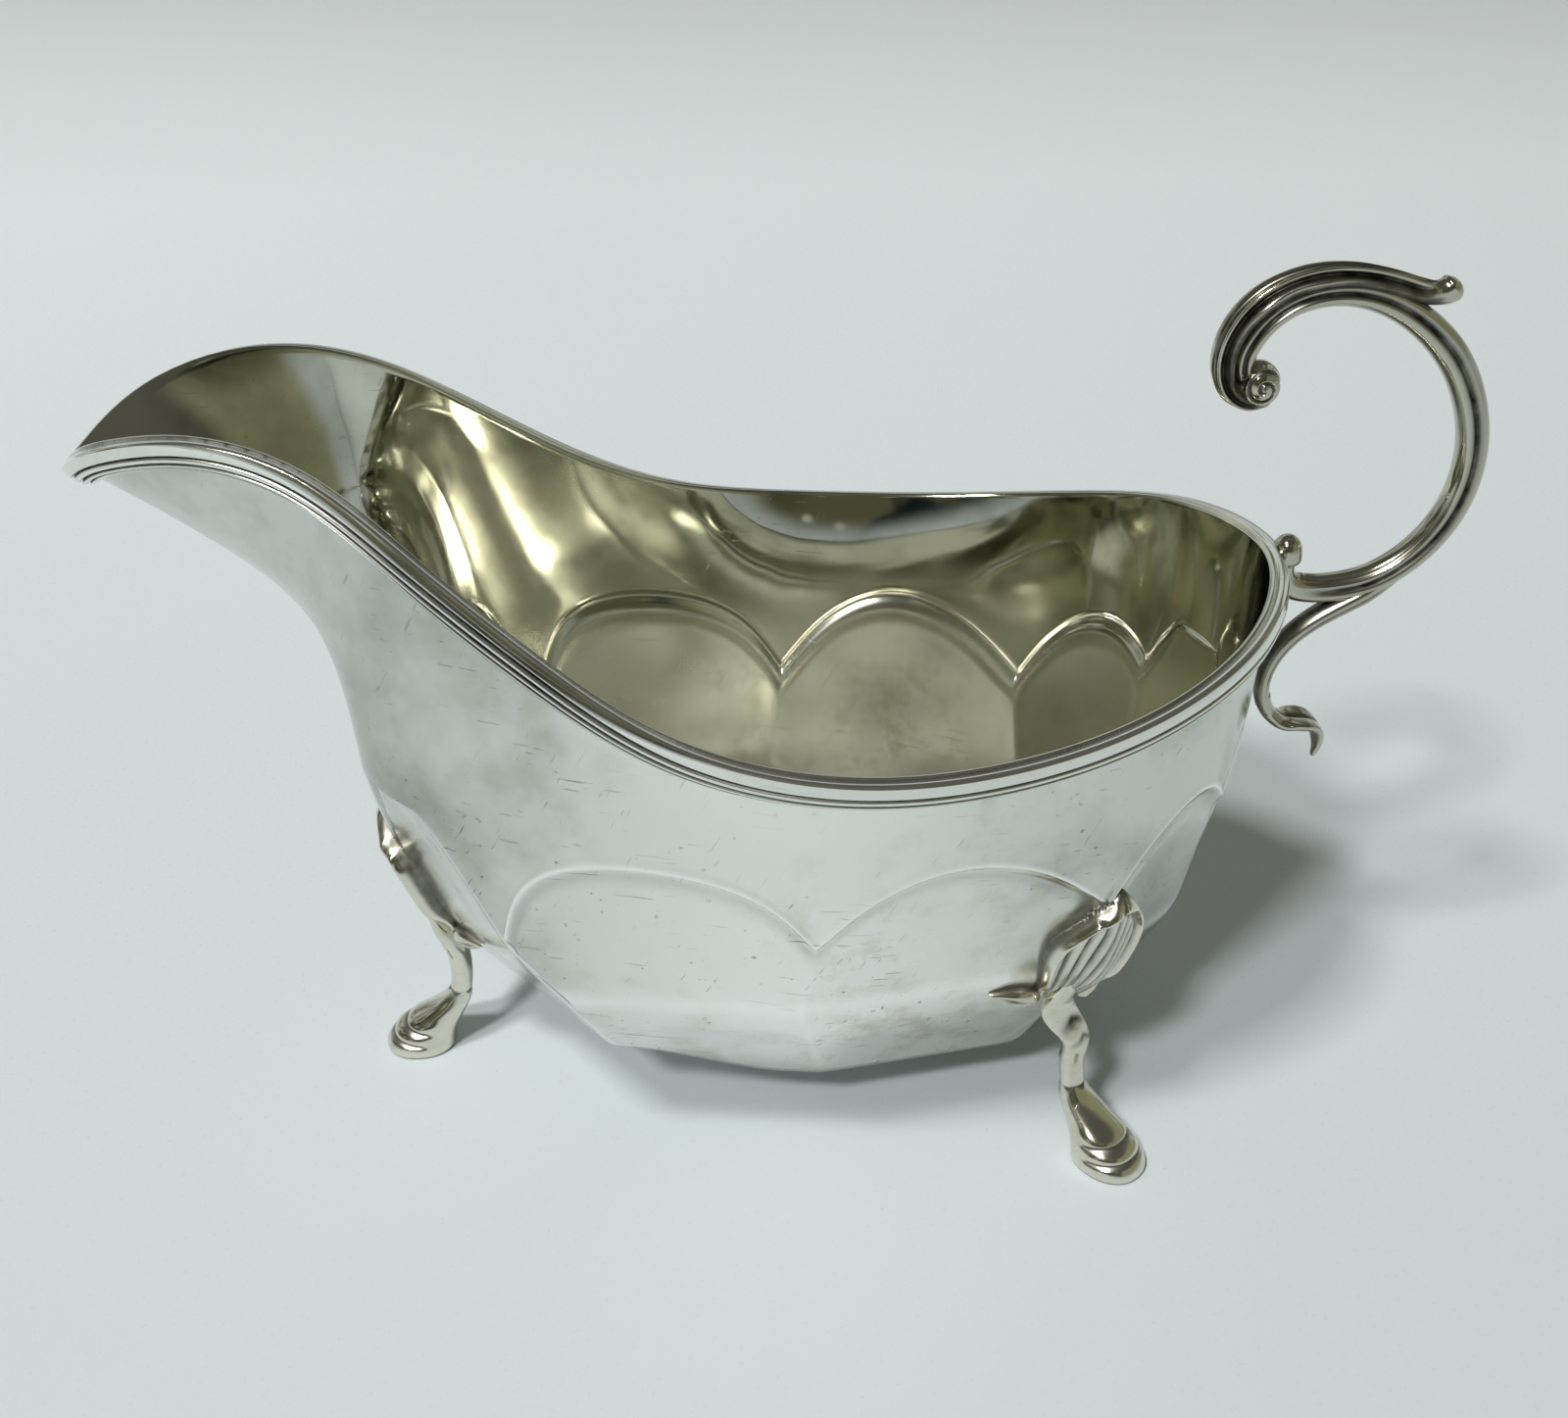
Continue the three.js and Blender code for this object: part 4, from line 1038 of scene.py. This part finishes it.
def hoof(place, out, side):
    """Level superellipses down to the sole. Two cuts cross the toe, which swells a little between and above them."""
    body = spline(HOOF, 110)
    z, s, long, wide = np.vstack([body[0] * [1, 1, 0.8, 0.8], body, HOOF_SOLE]).T
    toe = np.cos(TURN)
    ahead = smooth01((toe + 0.35) / 0.5)
    level = z[:, None] - 0.55 * toe
    cuts = (dent(level, 3.7, 0.26) + dent(level, 1.95, 0.24)) * ahead
    swell = 0.045 * (dent(level, 2.85, 0.5) + dent(level, 4.7, 0.7)) * ahead
    squared = (np.abs(toe) ** HOOF_POWER + np.abs(np.sin(TURN)) ** HOOF_POWER) ** (-1 / HOOF_POWER)
    stand = squared * (1 - 0.085 * cuts + swell)
    grid = bar(place(s, 0.0, z), np.tile(out, (len(s), 1)), long, wide, TURN, stand, side)
    sole_edge = 0.5 * smooth01((0.5 - z[:, None]) / 0.4)
    top_edge = 0.9 * smooth01((z[:, None] - 9.5 + 0.35 * np.cos(5 * TURN)) / 0.3)
    return grid, np.clip(0.85 * cuts + sole_edge + top_edge, 0, 1)


# %% Leaves beside the knee
LEAFLET_ROOT, LEAFLET_Z, LEAFLET_DOME = 6.1, 19.9, 1.6
LEAFLET_HALF_LENGTH, LEAFLET_HALF_WIDTH = 3.7, 2.0


def side_leaf(place, hand):
    """A pointed dome on the bowl, narrower and lower towards its tip, with a sunk middle."""
    ring, spin = plaque(90, 26)
    taper = 1 - 0.45 * np.cos(spin) * ring
    pointed = np.sign(np.sin(spin)) * np.abs(np.sin(spin)) ** 1.5
    length, across = LEAFLET_HALF_LENGTH * np.cos(spin) * ring, LEAFLET_HALF_WIDTH * taper * pointed * ring
    dome = LEAFLET_DOME * taper * np.sqrt(np.maximum(1 - ring**3, 0))
    dome -= 0.45 * dent(across, 0.15, 0.42) * dent(length, 0.3, 1.6)
    points = place(-6.0, hand * (LEAFLET_ROOT + length), LEAFLET_Z - 0.18 * length + across)
    hollow = dent(across, 0.15, 0.5) * dent(length, 0.3, 1.7)
    dark = 0.8 * smooth01((there_and_back(ring) - 0.9) / 0.1) + 0.75 * np.vstack([hollow, hollow])
    return laid(points, dome), np.clip(dark, 0, 1)


# %% Three feet
for name in FEET:
    place, out, side = foot_place(name)
    makers = {"shell": shell(place), "leg": leg(place, out, side), "hoof": hoof(place, out, side),
              "leaf_left": side_leaf(place, 1), "leaf_right": side_leaf(place, -1)}
    for piece, (grid, dark) in makers.items():
        silver_piece(f"{name}_{piece}", grid, f"foot_{name}_{piece}", foot_silver, dark)

# %% [markdown]
# ## The table, the light and the camera
#
# Polished silver shows only what stands around it, so the light is part of the finish. The outside of the
# bowl looks down and mirrors the table, so the table is pale and well lit. Its paint is a little darker in
# front than far behind: painted light, brighter far away. The inside looks up into the room, which is a few
# smooth steps and noises over the direction of view: a pale band at the table's level, a patchy pale wall
# behind the boat, an olive wall beyond the handle, dim things elsewhere, and a dark ceiling. Two soft boxes,
# both in front on the left and one higher and nearer than the other, throw the shadows and make the bright
# spots.

# %% Table
table_mesh = bpy.data.meshes.new("table")
HALF_TABLE = 3
corners = [(x * HALF_TABLE, y * HALF_TABLE, 0) for x, y in ((-1, -1), (1, -1), (1, 1), (-1, 1))]
table_mesh.from_pydata(corners, [], [(0, 1, 2, 3)])
table = bpy.data.objects.new("table", table_mesh)
bpy.context.scene.collection.objects.link(table)
table_paint = bpy.data.materials.new("pale_table")
n = Nodes(table_paint)
paint = n.add("BsdfPrincipled", in_Roughness=0.55)
paint.inputs["Specular IOR Level"].default_value = 0.25
speck = n.ramp(n.noise(1400, 2), [(0.30, 0.0), (0.36, 1.0)])
place = n.add("SeparateXYZ")
n.join(n.add("TexCoord").outputs["Object"], place.inputs[0])
# Painted light: the paint grows lighter from the front to far behind, a stand-in for light that is brighter far
# away.
away = n.add("MapRange", in_From_Min=-0.05, in_From_Max=0.55)
n.join(place.outputs["Y"], away.inputs["Value"])
NEAR_PAINTED_SHADE, FAR_PAINTED_LIGHT, SPECK = (0.62, 0.68, 0.722, 1), (0.83, 0.89, 0.935, 1), (0.60, 0.64, 0.66, 1)
shade = n.blend(away.outputs["Result"], NEAR_PAINTED_SHADE, FAR_PAINTED_LIGHT)
n.join(n.blend(speck, SPECK, shade), paint.inputs["Base Color"])
n.join(paint.outputs["BSDF"], n.add("OutputMaterial").inputs["Surface"])
table_mesh.materials.append(table_paint)
print("table:", 2 * HALF_TABLE, "m wide")

# %% Room
world = bpy.data.worlds.new("dim_room")
bpy.context.scene.world = world
n = Nodes(world)
direction = n.add("TexCoord").outputs["Generated"]
axes = n.add("SeparateXYZ")
n.join(direction, axes.inputs[0])


def share_of(axis, low, high):
    """A smooth step of the view's direction along one axis."""
    step = n.add("MapRange", interpolation_type="SMOOTHSTEP", in_From_Min=low, in_From_Max=high)
    n.join(axes.outputs[axis], step.inputs["Value"])
    return step.outputs["Result"]


OLIVE, SHADOWED, PICTURE = (0.085, 0.085, 0.05, 1), (0.006, 0.010, 0.012, 1), (0.40, 0.41, 0.36, 1)
SIDE_WALL, DIM_WALL, PALE_WALL = (0.27, 0.27, 0.18, 1), (0.12, 0.125, 0.09, 1), (0.56, 0.58, 0.54, 1)
CEILING_TONE, HORIZON = (0.10, 0.10, 0.085, 1), (0.42, 0.455, 0.47, 1)
furniture = n.ramp(n.noise(2.6, 3, 0.5, direction), [(0.42, 0.0), (0.47, 1.0)])
pictures = n.ramp(n.noise(5.0, 1, 0.4, direction), [(0.62, 0.0), (0.64, 1.0)])
patches = n.ramp(n.noise(3.0, 2, 0.5, direction), [(0.40, 0), (0.50, 1)])
room = n.blend(pictures, n.blend(furniture, SHADOWED, OLIVE), PICTURE)
room = n.blend(share_of("X", 0.28, 0.50), room, SIDE_WALL)
room = n.blend(share_of("Y", 0.25, 0.55), room, n.blend(patches, DIM_WALL, PALE_WALL))
room = n.blend(share_of("Z", 0.60, 0.72), room, CEILING_TONE)
room = n.blend(share_of("Z", 0.06, 0.20), HORIZON, room)
sky = n.add("Background", in_Strength=1.0)
n.join(room, sky.inputs["Color"])
n.join(sky.outputs["Background"], n.add("OutputWorld").inputs["Surface"])
print("room:", len(world.node_tree.nodes), "nodes")


# %% Lamps
AIM = Vector((0, 0, 0.04))


def soft_box(name, place, size, watts, colour):
    """A rectangular lamp of a size in metres that looks from its place at the bowl."""
    light = bpy.data.lights.new(name, "AREA")
    light.shape = "RECTANGLE"
    light.size, light.size_y = size
    light.energy = watts
    light.color = colour
    lamp = bpy.data.objects.new(name, light)
    lamp.location = place
    lamp.rotation_euler = (AIM - Vector(place)).to_track_quat("-Z", "Y").to_euler()
    bpy.context.scene.collection.objects.link(lamp)
    print(f"{name}: {watts} W")


soft_box("window_light", (-1.85, -2.7, 3.66), (0.55, 0.55), 118, (1, 0.99, 0.965))
soft_box("ceiling_light", (-1.26, -1.05, 3.05), (0.5, 0.4), 57, (1, 0.985, 0.95))

# %% Camera
AZIMUTH, ELEVATION, ROLL = np.radians([-3.25, 30, -0.57])
TARGET, DISTANCE = np.array([-1.85, 0, 53.4]), 215.0
SENSOR, FOCAL_LENGTH, NEAREST = 36, 37.6, 0.01
flat = np.cos(ELEVATION)
back = np.array([np.sin(AZIMUTH) * flat, -np.cos(AZIMUTH) * flat, np.sin(ELEVATION)])
level = np.array([np.cos(AZIMUTH), np.sin(AZIMUTH), 0])
across = np.cos(ROLL) * level + np.sin(ROLL) * np.cross(back, level)
turned = np.stack([across, np.cross(back, across), back], -1)
lens = bpy.data.cameras.new("camera")
lens.sensor_width, lens.lens, lens.clip_start = SENSOR, FOCAL_LENGTH, NEAREST
camera = bpy.data.objects.new("camera", lens)
camera.matrix_world = Matrix(turned.tolist()).to_4x4()
camera.location = (TARGET + DISTANCE * back) * MM
bpy.context.scene.collection.objects.link(camera)
bpy.context.scene.camera = camera
bpy.context.scene.view_settings.view_transform = "Standard"
